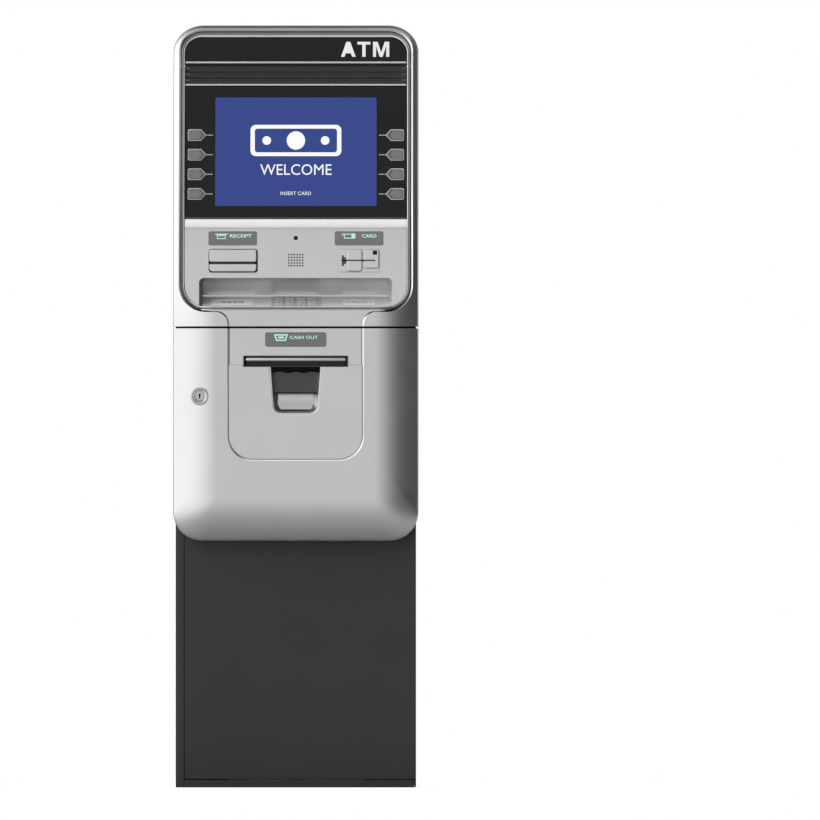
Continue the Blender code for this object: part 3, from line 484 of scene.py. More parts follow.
def divided(loop, step):
    """The same outline with its long edges cut into steps."""
    points = []
    for (x0, y0), (x1, y1) in zip(loop, [*loop[1:], loop[0]]):
        count = max(1, round(math.hypot(x1 - x0, y1 - y0) / step))
        points += [(x0 + (x1 - x0) * i / count, y0 + (y1 - y0) * i / count) for i in range(count)]
    return points


def sheet(loops, lift, spacing):
    """Fine triangles over a flat outline with holes, the first loop outside, each point lifted."""
    points, edges = [], []
    for loop in loops:
        start = len(points)
        points += [Vector(p) for p in loop]
        edges += [(start + i, start + (i + 1) % len(loop)) for i in range(len(loop))]
    low = [min(p[k] for p in loops[0]) for k in (0, 1)]
    high = [max(p[k] for p in loops[0]) for k in (0, 1)]
    counts = [int((high[k] - low[k]) / spacing[k]) for k in (0, 1)]
    for i in range(1, counts[0]):
        for j in range(1, counts[1]):
            points.append(Vector((low[0] + spacing[0] * i, low[1] + spacing[1] * j)))
    made = delaunay_2d_cdt(points, edges, [], 4, 1e-5)
    return [lift(p[0], p[1]) for p in made[0]], [tuple(face) for face in made[2]]


def loft(sections, caps=True):
    points, faces = grid(sections, True)
    count = len(sections[0])
    if caps:
        faces.append(tuple(range(count)))
        faces.append(tuple(range(len(points) - count, len(points))))
    return points, faces


def stacked(levels, place):
    """Sections from pairs of outline and height."""
    return [[place(a, b, h) for a, b in outline] for outline, h in levels]


def band(name, levels, place, material, body, smooth=30):
    """An open strip through pairs of outline and height."""
    return make_object(name, loft(stacked(levels, place), False), material, body, (), smooth)


def slab(name, outline, low, high, place, material, body, width=0.4, replaces=(), segments=2):
    """A prism with rounded edges as one piece."""
    sections = stacked(((outline, low), (outline, high)), place)
    obj = make_object(name, loft(sections), material, body, replaces)
    return soften(obj, width, segments) if width else obj


def arc(cx, cy, radius, start, end, steps):
    turns = [math.radians(start + (end - start) * i / steps) for i in range(steps + 1)]
    return [(cx + radius * math.cos(t), cy + radius * math.sin(t)) for t in turns]


def round_rect(x0, x1, y0, y1, radius, steps=6):
    points = []
    corners = ((x1, y1, -1, -1, 0), (x0, y1, 1, -1, 90), (x0, y0, 1, 1, 180), (x1, y0, -1, 1, 270))
    for x, y, sx, sy, start in corners:
        points += arc(x + sx * radius, y + sy * radius, radius, start, start + 90, steps)
    return points


def circle(cx, cy, radius, steps=32):
    return arc(cx, cy, radius, 0, 360, steps)[:-1]


def box_outline(x0, x1, y0, y1):
    return [(x0, y0), (x1, y0), (x1, y1), (x0, y1)]


def arched(half, low, top, radius):
    """Square at the bottom and rounded at both top corners."""
    corners = arc(half - radius, top - radius, radius, 0, 90, 12)
    corners += arc(-half + radius, top - radius, radius, 90, 180, 12)
    return [(-half, low), (half, low), *corners]


def facing(y):
    """Place function for upright fronts: a across, b up, h out towards the customer."""
    return lambda a, b, h: (a, y - h, b)


def lathe(name, profile, centre, axis, material, body, replaces=(), steps=48):
    """A turned piece: profile holds (radius, distance along axis) from centre."""
    rows = []
    for r, d in profile:
        ring = []
        for i in range(steps):
            t = 2 * math.pi * i / steps
            a, b = r * math.cos(t), r * math.sin(t)
            offset = {"x": (d, a, b), "y": (a, d, b), "z": (a, b, d)}[axis]
            ring.append(tuple(c + o for c, o in zip(centre, offset)))
        rows.append(ring)
    return make_object(name, loft(rows), material, body, replaces)


def lettering(name, text, size, place, at, material, body, raise_by=0.12, width=None, bold=0.0):
    """Plain lettering or symbols as a thin mesh on a face, size tall and centred; width fits it."""
    curve = bpy.data.curves.new(name, "FONT")
    curve.body = text
    curve.size = 1.0
    curve.offset = bold
    curve.resolution_u = 3
    holder = bpy.data.objects.new(name + "_curve", curve)
    bpy.context.scene.collection.objects.link(holder)
    bpy.context.view_layer.update()
    mesh = bpy.data.meshes.new_from_object(holder.evaluated_get(bpy.context.evaluated_depsgraph_get()))
    bpy.data.objects.remove(holder)
    low = [min(v.co[k] for v in mesh.vertices) for k in (0, 1)]
    high = [max(v.co[k] for v in mesh.vertices) for k in (0, 1)]
    tall = size / (high[1] - low[1])
    wide = width / (high[0] - low[0]) if width else tall
    for vertex in mesh.vertices:
        a = (vertex.co[0] - (low[0] + high[0]) / 2) * wide
        b = (vertex.co[1] - (low[1] + high[1]) / 2) * tall
        vertex.co = Vector(place(at[0] + a, at[1] + b, raise_by)) * MM
    mesh.name = name
    return finish_object(name, mesh, material, body)


# Places on the fascia


def bent(x, s, h):
    turn = min(s, ARC_LENGTH) / LINE_R
    run = max(0.0, s - ARC_LENGTH)
    y = CURVE_Y - (LINE_R + h) * math.cos(turn) + run * math.sin(turn)
    z = CURVE_START_Z + (LINE_R + h) * math.sin(turn) + run * math.cos(turn)
    return (x, y, z)


def s_at(z, h=0.0):
    top = math.radians(TILT)
    arc_top = CURVE_START_Z + (LINE_R + h) * math.sin(top)
    if z > arc_top:
        return ARC_LENGTH + (z - arc_top) / math.cos(top)
    return LINE_R * math.asin((z - CURVE_START_Z) / (LINE_R + h))


def plane(y, z, tilt):
    sine = math.sin(math.radians(tilt))
    cosine = math.cos(math.radians(tilt))

    def place(a, b, h):
        return (a, y + b * sine - h * cosine, z + b * cosine + h * sine)

    return place


def panel_plane(z, h=2.0):
    s = s_at(z, h)
    point = bent(0, s, h)
    return plane(point[1], point[2], math.degrees(s / LINE_R))


def display_plane():
    top = bent(0, s_at(DISPLAY_TOP_Z), 0)
    low = bent(0, s_at(DISPLAY_BOTTOM_Z), 0)
    tilt = math.degrees(math.atan2(top[1] - low[1], top[2] - low[2]))
    return plane(low[1], low[2], tilt), tilt, low


def on_display(z):
    tilt, low = display_plane()[1:]
    return (z - low[2]) / math.cos(math.radians(tilt))


def shelf_plane():
    tilt = math.degrees(math.atan2(SHELF_REAR[1] - LIP_Z, SHELF_REAR[0] - LIP_Y))
    middle = ((SHELF_REAR[0] + LIP_Y) / 2, (SHELF_REAR[1] + LIP_Z) / 2)
    return plane(middle[0], middle[1], 90 - tilt)


# Mouldings with the soft front edge


def crown(x, up, outline_x, outline_up):
    def share(side, end):
        a = max(0.0, 1 - side / CROWN_WIDTH)
        b = max(0.0, 1 - end / CROWN_WIDTH)
        return (a**CROWN_POWER + b**CROWN_POWER) ** (1 / CROWN_POWER)

    return CROWN_DEPTH * (1 - min(1.0, share(x, up) / share(outline_x, outline_up)) ** 2)


def fascia_measure(x, s):
    return FASCIA_HALF - abs(x), TOP_S - s


def bezel_measure(x, z):
    return FASCIA_HALF - abs(x), z - BEZEL_BOTTOM


def moulding(rows, place, wall, measure, steps):
    """Sections of wall, soft edge and lip, one for each row (outer point, opening edge, inward)."""
    reach = EDGE_R * (1 - math.sin(math.radians(EDGE_TURNS[-1])))
    sections = []
    for outer, edge, inward in rows:
        base = measure(*outer)
        span = math.hypot(edge[0] - outer[0], edge[1] - outer[1])
        along = ((edge[0] - outer[0]) / span, (edge[1] - outer[1]) / span)

        def front(run):
            p = (outer[0] + along[0] * run, outer[1] + along[1] * run)
            return (*p, crown(*measure(*p), *base))

        a, b, low = front(reach)
        low -= EDGE_R * math.cos(math.radians(EDGE_TURNS[-1]))
        section = [(outer[0], outer[1], -wall)]
        for turn in EDGE_TURNS:
            run = EDGE_R * (1 - math.sin(math.radians(turn)))
            rise = low + EDGE_R * math.cos(math.radians(turn))
            section.append((outer[0] + along[0] * run, outer[1] + along[1] * run, rise))
        section += [front(reach + (span - 0.7 - reach) * k / steps) for k in range(1, steps + 1)]
        a, b, top = front(span)
        for inset, drop in ((-0.2, 0.28), (0.25, 0.75), (CHAMFER, CHAMFER_DROP)):
            section.append((a + inward[0] * inset, b + inward[1] * inset, top - drop))
        lip = section[-1]
        foot = (lip[0], lip[1], min(top - SKIN, 2.2) - FLANGE)
        back_foot = (lip[0] - inward[0] * SKIN, lip[1] - inward[1] * SKIN, foot[2])
        step_in = (outer[0] + inward[0] * SKIN, outer[1] + inward[1] * SKIN)
        inner = crown(*measure(*step_in), *base) - SKIN
        section += [foot, back_foot, (back_foot[0], back_foot[1], top - SKIN - 1)]
        section += [(*step_in, min(inner, -EDGE_R)), (*step_in, -wall)]
        sections.append([place(*p) for p in section])
    return sections


def flare_boundary(steps):
    neck_x = -APRON_HALF - NECK_R
    flare_x = -(FASCIA_HALF - RIM) + FLARE_R
    low_z = FLARE_TOP_Z - FLARE_R
    points = [(-APRON_HALF, FASCIA_BOTTOM), (-APRON_HALF, FASCIA_BOTTOM + 2)]
    points += arc(neck_x, low_z - NECK_R, NECK_R, 0, 90, steps)
    points += arc(flare_x, FLARE_TOP_Z, FLARE_R, 270, 180, steps * 2)
    return [(x, z + 0.8 * i / len(points)) for i, (x, z) in enumerate(points)]


def mirrored(rows):
    """The same rows on the other side, in reverse order."""
    return [((-o[0], o[1]), (-e[0], e[1]), (-n[0], n[1])) for o, e, n in reversed(rows)]


def fascia_rows(flare_steps, side_steps, corner_steps, top_steps):
    rows = [((-FASCIA_HALF, s_at(z)), (x, s_at(z)), (1, 0)) for x, z in flare_boundary(flare_steps)]
    start = s_at(FLARE_TOP_Z + 1)
    stop = TOP_S - CORNER_R
    for i in range(1, side_steps + 1):
        s = start + (stop - start) * i / side_steps
        rows.append(((-FASCIA_HALF, s), (-FASCIA_HALF + RIM, s), (1, 0)))
    centre = (-FASCIA_HALF + CORNER_R, stop)
    for i in range(1, corner_steps + 1):
        turn = math.radians(180 - 90 * i / corner_steps)
        out = (math.cos(turn), math.sin(turn))
        outer = (centre[0] + CORNER_R * out[0], centre[1] + CORNER_R * out[1])
        edge = (outer[0] - RIM * out[0], outer[1] - RIM * out[1])
        rows.append((outer, edge, (-out[0], -out[1])))
    for i in range(1, top_steps):
        x = centre[0] * (1 - i / top_steps)
        rows.append(((x, TOP_S), (x, TOP_S - RIM), (0, -1)))
    return rows + mirrored(rows)


def bezel_rows(side_steps, corner_steps, bottom_steps):
    rows = []
    outer_low = BEZEL_BOTTOM + CORNER_R
    edge_low = APRON_BOTTOM + APRON_R
    for i in range(side_steps + 1):
        t = i / side_steps
        outer = (-FASCIA_HALF, BEZEL_TOP + (outer_low - BEZEL_TOP) * t)
        edge = (-APRON_HALF, BEZEL_TOP + (edge_low - BEZEL_TOP) * t)
        rows.append((outer, edge, (1, 0)))
    outer_arc = arc(-FASCIA_HALF + CORNER_R, outer_low, CORNER_R, 180, 270, corner_steps)
    edge_arc = arc(-APRON_HALF + APRON_R, edge_low, APRON_R, 180, 270, corner_steps)
    for i in range(1, corner_steps + 1):
        turn = math.radians(180 + 90 * i / corner_steps)
        rows.append((outer_arc[i], edge_arc[i], (-math.cos(turn), -math.sin(turn))))
    for i in range(1, bottom_steps + 1):
        t = 1 - i / bottom_steps
        rows.append(((outer_arc[-1][0] * t, BEZEL_BOTTOM), (edge_arc[-1][0] * t, APRON_BOTTOM), (0, 1)))
    return rows + mirrored(rows[:-1])


def bezel_place(x, z, h):
    return (x, FRONT_LINE - h, z)


def build_fascia_shell():
    sections = moulding(fascia_rows(14, 70, 20, 10), bent, WALL_DEPTH, fascia_measure, 16)
    make_object("fascia_rim", loft(sections), "silver", "fascia", ("fascia_shell",), 24)


def build_rear_cover():
    """Closes the fascia's back where it stands above the cabinet."""
    half = FASCIA_HALF - SKIN - 0.4
    low = s_at(TOP_Z + 3, -46)
    outline = arched(half, low, TOP_S - SKIN - 0.4, CORNER_R - SKIN)
    slab("fascia_rear_cover", outline, -47.5, -45.5, bent, "dark_plastic", "fascia", 0.6)
    for x in (-190, -64, 64, 190):
        head = circle(x, low + 9, 3.6, 20)
        slab(f"rear_cover_screw_{x}", head, -48.3, -47, bent, "steel", "fascia", 0.5)


def build_lower_bezel():
    sections = moulding(bezel_rows(30, 26, 24), bezel_place, BEZEL_REAR - FRONT_LINE, bezel_measure, 26)
    make_object("bezel_moulding", loft(sections), "silver", "lower_bezel", ("lower_bezel",), 24)


def well_outline(grow=0.0, top=SLOT_LOW + 5, steps=8):
    low = WELL_BOTTOM - grow
    left = arc(-WELL_LOW_HALF + 15 - grow, low + 15, 15, 180, 270, steps)
    right = arc(WELL_LOW_HALF - 15 + grow, low + 15, 15, 270, 360, steps)
    return [(-WELL_TOP_HALF - grow, top), *left, *right, (WELL_TOP_HALF + grow, top)]


def build_cash_panel():
    """The apron: a lower field that stands a little proud, and the plain part above it."""
    refine("cash_panel", "silver", 0.9, 3)
    half = APRON_HALF - CHAMFER + 0.3
    low = APRON_BOTTOM + CHAMFER - 0.3
    r = APRON_R - CHAMFER
    face = facing(APRON_FRONT)
    corner = 6.0
    outline = [(-half, 779.6), *arc(-half + r, low + r, r, 180, 270, 16)]
    outline += [*arc(half - r, low + r, r, 270, 360, 16), (half, 779.6), (SLOT_HALF + 1.4, 779.6)]
    outline += [(SLOT_HALF + 1.4, SLOT_LOW - 0.8)]
    outline += arc(WELL_TOP_HALF + 2.4 + corner, SLOT_LOW - 0.8 - corner, corner, 90, 176, 6)
    outline += [p for p in reversed(well_outline(1.4)[1:-1])]
    outline += arc(-WELL_TOP_HALF - 2.4 - corner, SLOT_LOW - 0.8 - corner, corner, 4, 90, 6)
    outline += [(-SLOT_HALF - 1.4, SLOT_LOW - 0.8), (-SLOT_HALF - 1.4, 779.6)]
    slab("cash_panel_field", outline, -0.5, 1.1, face, "silver", "lower_bezel", 0.7)
    # Strips of darker silver just above the field stand for the shadow line along its upper edge: painted
    # shadow.
    for side, (x0, x1) in (("left", (-half, -SLOT_HALF - 1.4)), ("right", (SLOT_HALF + 1.4, half))):
        shadow_strip = box_outline(x0, x1, 779.9, 781.1)
        slab("cash_panel_painted_shadow_" + side, shadow_strip, -0.3, 0.05, face, "silver_painted_shade", "lower_bezel", 0)


def build_cash_slot():
    face = facing(APRON_FRONT)
    refine("cash_slot_frame", "duct", 0.3)
    outer = round_rect(-SLOT_HALF - 0.9, SLOT_HALF + 0.9, SLOT_LOW - 0.6, SLOT_HIGH + 0.8, 1.6)
    inner = round_rect(-SLOT_HALF + 1.6, SLOT_HALF - 1.6, SLOT_LOW + 1.2, SLOT_HIGH - 1.4, 1.2)
    levels = ((outer, 0.2), (outer, 0.9), (inner, -2), (inner, -5))
    band("note_slot_bevel", levels, face, "duct", "lower_bezel")
    centre, radius, depth = 790.7, 4.4, 3.6
    turns = [math.radians(t) for t in range(-90, 91, 9)]
    profile = [(radius * math.sin(t), depth * math.cos(t)) for t in turns]
    rows = []
    for x, share in ((-94.2, 0.1), (-91.2, 0.97), (-90.6, 1), (90.6, 1), (91.2, 0.97), (94.2, 0.1)):
        rows.append([face(x, centre + up * share, out * share - 5.0) for up, out in profile])
    make_object("note_shutter_bar", loft(rows), "silver", "lower_bezel", (), 50)
    lip = box_outline(-92, 92, 779.2, 786)
    slab("note_lip", lip, -7.5, -5.5, face, "rubber", "lower_bezel", 0.8)
    for k in range(9):
        x = -84 + 21 * k
        rib = box_outline(x - 0.6, x + 0.6, 779.4, 785.8)
        slab(f"note_lip_rib_{k}", rib, -6, -5, face, "rubber", "lower_bezel", 0.3)


def build_finger_well():
    face = facing(APRON_FRONT)
    depths = ((1.8, 0.5), (1.2, 0.75), (0.5, 0.6), (0.0, -0.2), (-0.8, -1.6), (-2.4, -6.0), (-4.6, -12.0))
    depths += ((-7.4, -17.0), (-9.2, -19.6))
    rows = stacked([(well_outline(grow, SLOT_LOW - 1.5, 10), h - 0.4) for grow, h in depths], face)
    make_object("finger_well_wall", grid(rows), "silver", "lower_bezel", ("finger_well",), 50)
    rows = []
    for i in range(17):
        t = i / 16
        z = WELL_BOTTOM + 6.5 + 31 * t
        depth = -11.5 - 8.5 * math.sin(t * math.pi / 2)
        half = 26.5 + 7.5 * min(1.0, t * 2.4) ** 0.5
        rows.append([face(half * (j / 8 - 1), z, depth) for j in range(17)])
    make_object("finger_well_slope", grid(rows), "silver", "lower_bezel", (), 50)
    plate = [(-40.2, 729.5), (40.2, 729.5), (44, 775), (-44, 775)]
    slab("finger_well_plate", plate, -10.5, -9, face, "duct", "lower_bezel", 0.6)
    groove = box_outline(-40, 40, 727.6, 729.8)
    slab("finger_well_groove", groove, -9.8, -8.8, face, "black", "lower_bezel", 0.3)
    rows = []
    for i in range(8):
        t = i / 7
        row = []
        for j in range(91):
            x = -44.5 + 89 * j / 90
            wave = abs(math.cos(x / 44.5 * math.pi * 1.5))
            bottom = 765.0 + 3.2 * wave
            z = 779 + (bottom - 779) * t
            row.append(face(x, z, -4.5 - 3.2 * t**2 + 0.8 * wave))
        rows.append(row)
    thicken(make_object("note_curtain", grid(rows), "black", "lower_bezel", (), 60), 0.8)


def build_bezel_lock():
    x, z = LOCK
    ring = [(12.4, 9), (16.7, 9), (16.7, 0.9), (16.2, 0.25), (15.4, 0.0), (13.2, 0.1)]
    ring += [(12.3, 0.9), (11.4, 2.0), (10.1, 1.9), (9.6, 1.0), (9.15, 1.6), (9.15, 20), (12.4, 20)]
    centre = (x, LOCK_FRONT, z)
    ring.append(ring[0])
    lathe("lock_collar", ring, centre, "y", "lock_steel", "lower_bezel", ("bezel_lock_ring",))
    core = [(0.01, 0.7), (8.1, 0.7), (8.7, 1.2), (8.7, 24), (0.01, 24)]
    lathe("lock_core", core, centre, "y", "lock_steel", "bezel_lock", ("bezel_lock_cylinder",))
    face = facing(LOCK_FRONT)
    keyway = round_rect(x - 1.0, x + 1.0, z - 5, z + 4.6, 0.9, 4)
    slab("lock_keyway", keyway, -1.0, -0.55, face, "black", "bezel_lock", 0)
    slab("lock_keyway_eye", circle(x, z + 2.2, 2.2, 16), -1.0, -0.5, face, "black", "bezel_lock", 0)
    cam = box_outline(x - 4, x + 4, z - 34, z + 4)
    rear = LOCK_FRONT - FRONT_LINE - 4
    slab("lock_cam", cam, rear - 3, rear, face, "zinc", "bezel_lock", 0.4)


# Header and display


def letter_a():
    outer = [(0, 0), (0.21, 0), (0.285, 0.24), (0.6, 0.24), (0.675, 0), (0.885, 0), (0.56, 1), (0.325, 1)]
    inner = [(0.34, 0.405), (0.545, 0.405), (0.4425, 0.76)]
    return [outer, inner]


def letter_t():
    return [[(0.29, 0), (0.49, 0), (0.49, 0.82), (0.78, 0.82), (0.78, 1), (0, 1), (0, 0.82), (0.29, 0.82)]]


def letter_m():
    left = [(0, 0), (0.185, 0), (0.185, 0.72), (0.4, 0), (0.58, 0), (0.795, 0.72), (0.795, 0), (0.98, 0)]
    return [left + [(0.98, 1), (0.7, 1), (0.49, 0.29), (0.28, 1), (0, 1)]]


def header_word():
    """The word ATM in plain bold capitals."""
    low, tall = s_at(1350.8), 30.7
    for name, loops, x in (("a", letter_a(), 83.2), ("t", letter_t(), 113.6), ("m", letter_m(), 142.4)):
        placed = [[(x + a * tall, low + b * tall) for a, b in loop] for loop in loops]
        points, faces = sheet(placed, lambda a, b: bent(a, b, 0.5), (200, 200))
        for loop in placed:
            start = len(points)
            points += [bent(a, b, h) for h in (0.0, 0.49) for a, b in loop]
            count = len(loop)
            for i in range(count):
                k = (i + 1) % count
                faces.append((start + i, start + k, start + count + k, start + count + i))
        make_object("header_letter_" + name, (points, faces), "white_ink", "fascia")


def louvre_height(s):
    """Height of the grille across its slats: flat, with a gentle ridge at each one."""
    height = -1.6
    for z in LOUVRE_RIDGES:
        t = (s - s_at(z)) / 4.2
        if abs(t) < 1:
            height += 0.8 * (1 + math.cos(math.pi * t))
    return height


def build_header():
    half = FASCIA_HALF - TRIM_SIDE - 0.5
    outline = arched(half, s_at(LOUVER_TOP_Z + 5), TOP_S - TRIM_TOP - 0.5, CORNER_R - TRIM_SIDE)
    slab("header_plate", outline, -3.5, 0, bent, "gloss_black", "fascia", 0.5, ("header_panel",))
    low = s_at(DISPLAY_TOP_Z + 3)
    high = s_at(LOUVER_TOP_Z + 0.8)
    rows = []
    for i in range(73):
        s = low + (high - low) * i / 72
        row = []
        for j in range(121):
            x = -half + 2 * half * j / 120
            end = min(1.0, max(0.0, (half - 1 - abs(x)) / 16))
            row.append(bent(x, s, -0.2 + (louvre_height(s) + 0.2) * math.sin(end * math.pi / 2)))
        rows.append(row)
    make_object("louvre_panel", grid(rows), "louvre", "fascia", (), 60)
    slab("louvre_backing", box_outline(-half, half, low, high), -6.5, -5.6, bent, "black", "fascia", 0)
    header_word()


def function_key_outline(side, z, grow=0.0, tip=0.0):
    b = on_display(z)
    half = 10.0 + grow
    back, shoulder, point = 198.2 + grow, 175.5, 168.2 - grow * 1.3 - tip
    corner = 3.0
    points = [(back - corner, b - half), *arc(back - corner, b - half + corner, corner, 270, 360, 5)[1:]]
    points += arc(back - corner, b + half - corner, corner, 0, 90, 5)
    points += [(shoulder, b + half), (point, b + 0.8), (point, b - 0.8), (shoulder, b - half)]
    return [(side * x, u) for x, u in points]


def build_display():
    place = display_plane()[0]
    refine("display_bezel", "gloss_black", 0.35)
    for side, label in ((-1, "left"), (1, "right")):
        for row, z in enumerate(FUNCTION_ROWS, 1):
            tag = f"{label}_{row}"
            outer = function_key_outline(side, z, 1.5)
            inner = function_key_outline(side, z, 0.2)
            levels = ((outer, -0.2), (outer, 0.5), (inner, 0.7), (inner, -1.5))
            soften(band("key_surround_" + tag, levels, place, "key_rim", "fascia"), 0.25)
            b = on_display(z)
            start, stop = sorted((side * 165.6, side * (SCREEN_HALF + 4.5)))
            pointer = box_outline(start, stop, b - 0.75, b + 0.75)
            slab("key_pointer_" + tag, pointer, -0.1, 0.35, place, "key_rim", "fascia", 0.2)
            body = f"function_key_{tag}"
            cap = function_key_outline(side, z, -0.35)
            slab("key_cap_" + tag, cap, -4.0, 1.5, place, "key_face", body, 0.9, (body,), 3)
            chevron_at = 177.5
            chevron = [(chevron_at, b + 8.4), (chevron_at - 6.3, b), (chevron_at, b - 8.4)]
            chevron += [(chevron_at + 1.5, b - 8.4), (chevron_at - 4.6, b), (chevron_at + 1.5, b + 8.4)]
            mark = [(side * x, u) for x, u in chevron]
            slab("key_mark_" + tag, mark, 1.3, 1.62, place, "black_ink", body, 0)


def build_screen():
    place = display_plane()[0]
    refine("lcd_monitor", "screen_blue", 0.3)
    case = on_display(SCREEN_BOTTOM_Z), on_display(SCREEN_TOP_Z)
    shell = box_outline(-158.6, 158.6, case[0] - 9.4, case[1] + 9.4)
    slab("monitor_case", shell, -38.6, -4.75, place, "zinc", "fascia", 0.8)

    def face(a, b, h):
        return place(a, on_display(b), h - 1.2)

    middle = 1196.0
    note = round_rect(-84, 84, middle - 29, middle + 29, 10, 8)
    inner = round_rect(-76, 76, middle - 22, middle + 22, 5, 8)
    ring_piece("screen_note_border", note, inner, face, "fascia", "screen_white", 0.25)
    for number, (x, r) in enumerate(((0, 17), (-54, 8), (54, 8))):
        spot = circle(x, middle, r, 40)
        slab(f"screen_note_spot_{number}", spot, 0.05, 0.25, face, "screen_white", "fascia", 0)
    lettering("screen_welcome", "WELCOME", 20, face, (0, 1142), "screen_white", "fascia", 0.25, 132)
    lettering("screen_hint", "INSERT CARD", 6.5, face, (0, 1098), "screen_white", "fascia", 0.25)


def corner_path(inset_side, inset_top, flare_steps, side_steps, corner_steps, top_steps):
    """One side of the loop inside the rim, mirrored at the end; t is 1 along the tray's lip."""
    rim_r = FLARE_R + RIM - inset_side
    centre = (-(FASCIA_HALF - RIM) + FLARE_R, s_at(FLARE_TOP_Z))
    flare = arc(*centre, rim_r, 270, 180, flare_steps)
    path = [(flare[0][0] * i / 12, flare[0][1], 1.0) for i in range(1, 12)]
    path += [(x, s, 1 - i / flare_steps) for i, (x, s) in enumerate(flare)]
    stop = TOP_S - CORNER_R
    for i in range(1, side_steps + 1):
        s = centre[1] + (stop - centre[1]) * i / side_steps
        path.append((-FASCIA_HALF + inset_side, s, 0.0))
    for i in range(1, corner_steps + 1):
        t = i / corner_steps
        turn = math.radians(180 - 90 * t)
        inset = inset_side + (inset_top - inset_side) * t
        x = -FASCIA_HALF + CORNER_R + (CORNER_R - inset) * math.cos(turn)
        path.append((x, stop + (CORNER_R - inset) * math.sin(turn), 0.0))
    last = path[-1]
    for i in range(1, top_steps):
        path.append((last[0] * (1 - i / top_steps), last[1], 0.0))
    return path + [(-x, s, t) for x, s, t in reversed(path)]


def trim_point(near, far, across, h):
    return bent(near[0] + (far[0] - near[0]) * across, near[1] + (far[1] - near[1]) * across, h)


def build_trim():
    """A ridge inside the rim, a slope down from it, and a bright bead beside the panels."""
    start = RIM + CHAMFER + 0.5
    steps = (24, 60, 18, 6)
    outside = corner_path(start, start, *steps)
    inside = corner_path(TRIM_SIDE, TRIM_TOP, *steps)
    shape = ((0, 0.02), (0.26, 0.02), (0.28, 0.7), (0.31, 0.95))
    shape += ((0.35, 1), (0.39, 0.92), (0.43, 0.75), (0.62, 0.12))
    bands, beads = [], []
    for near, far in zip(outside, inside):
        t = near[2]
        high = 3.4 + 12.8 * t**1.5
        low = 0.3 + 10.0 * t**2 + 3.2 * t**8
        section = [trim_point(near, far, 0, low - 4.5)]
        section += [trim_point(near, far, across, low + (high - low) * up) for across, up in shape]
        bands.append(section + [trim_point(near, far, 0.62, low - 4.5)])
        bead = []
        for k in range(9):
            turn = math.pi * k / 8
            across = 0.81 - 0.19 * math.cos(turn)
            bead.append(trim_point(near, far, across, low + 0.2 + 1.2 * math.sin(turn)))
        beads.append(bead + [trim_point(near, far, across, low - 13) for across in (1.0, 0.62)])
    # The band takes the darker silver, a painted shade, except its bottom part in the plain silver; the
    # groove's floor and inner wall take dark plastic, painted shade in the groove.
    band = make_object("rim_band", grid(bands, True, True), "silver_painted_shade", "fascia", ("display_trim",), 40)
    band.data.materials.append(MATERIALS["silver"])
    band.data.materials.append(MATERIALS["duct"])
    for face in band.data.polygons:
        if face.center.z < (FLARE_TOP_Z - FLARE_R + 6) * MM:
            face.material_index = 1
        elif face.index % len(bands[0]) in (1, 2):
            face.material_index = 2
    make_object("panel_bead", grid(beads, True, True), "silver", "fascia", (), 40)
    strips = {"upper": (LOUVER_TOP_Z + 1.6, LOUVER_TOP_Z + 5)}
    strips["lower"] = (DISPLAY_TOP_Z + 1.2, DISPLAY_TOP_Z + 4.4)
    for name, (z0, z1) in strips.items():
        strip = box_outline(-204.4, 204.4, s_at(z0), s_at(z1))
        slab("louvre_bead_" + name, strip, -1.0, 1.0, bent, "bead", "fascia", 0.8, (), 4)


# Service panel


def roll_share(t, steps=20):
    """Share of the roll's depth reached at t: a soft crease first, then an even curve."""

    def slope(u):
        rise = min(1.0, u / 0.15)
        return 0.72 * rise * rise * (3 - 2 * rise) + 0.28 * u

    done = sum(slope((i + 0.5) * t / steps) for i in range(steps)) * t
    return done / sum(slope((i + 0.5) / steps) for i in range(steps))


def service_lift(x, s):
    """The panel rolls back over its top stretch, to meet the display."""
    top = s_at(DISPLAY_BOTTOM_Z + 4.6, 2)
    t = max(0.0, 1 - (top - s) / PANEL_ROLL)
    return bent(x, s, 2.0 - ROLL_DEPTH * roll_share(t))


def build_service_panel():
    """One sheet from the display down to the tray, with an ear on each side of the tray's mouth."""
    half = FASCIA_HALF - TRIM_SIDE - 0.4
    low_r = FLARE_R + RIM - TRIM_SIDE - 0.8
    centre = (-(FASCIA_HALF - RIM - FLARE_R), s_at(FLARE_TOP_Z, 2))
    top = s_at(DISPLAY_BOTTOM_Z + 4.6, 2)
    mouth = s_at(TRAY_TOP_Z, 2)
    ear = [p for p in arc(*centre, low_r, 180, 270, 30) if p[0] < -TRAY_HALF - 0.4]
    left = [(-half, top), (-half, centre[1] + 5), *ear, (-TRAY_HALF, ear[-1][1] - 0.5)]
    left += arc(-TRAY_HALF + MOUTH_R, mouth - MOUTH_R, MOUTH_R, 180, 90, 8)
    outline = left + [(-x, s) for x, s in reversed(left)]
    shape = sheet([divided(outline, 3.0)], service_lift, (9.0, 1.5))
    panel = make_object("service_sheet", shape, "silver", "fascia", ("service_panel",), 40)
    soften(thicken(panel, 2.2), 0.6, 3, 60)


def label_plate(name, x0, x1, z0, z1, icon, icon_x, word, word_x, width):
    """Smoked lens with a lit pictogram and a plain word near its top."""
    middle = (z0 + z1) / 2
    face = panel_plane(middle)
    half = (z1 - z0) / 2
    slab(name, round_rect(x0, x1, -half, half, 3.5), -0.2, 0.9, face, "label", "fascia", 0.5)
    icon(name, face, (icon_x, 4.4), "fascia")
    lettering(name + "_word", word, 6.6, face, (word_x, 4.4), "label_glow", "fascia", 0.98, width, 0.02)


def receipt_icon(name, face, at, body):
    x, b = at
    top = [(x - 13, b + 4), (x + 13, b + 4), (x + 9, b + 1.5), (x - 9, b + 1.5)]
    slab(name + "_slot_mark", top, 0.9, 1.0, face, "label_glow", body, 0)
    outer = box_outline(x - 8, x + 8, b - 6, b + 1)
    inner = box_outline(x - 6.6, x + 6.6, b - 4.6, b - 0.2)
    ring_piece(name + "_paper_mark", outer, inner, face, body)


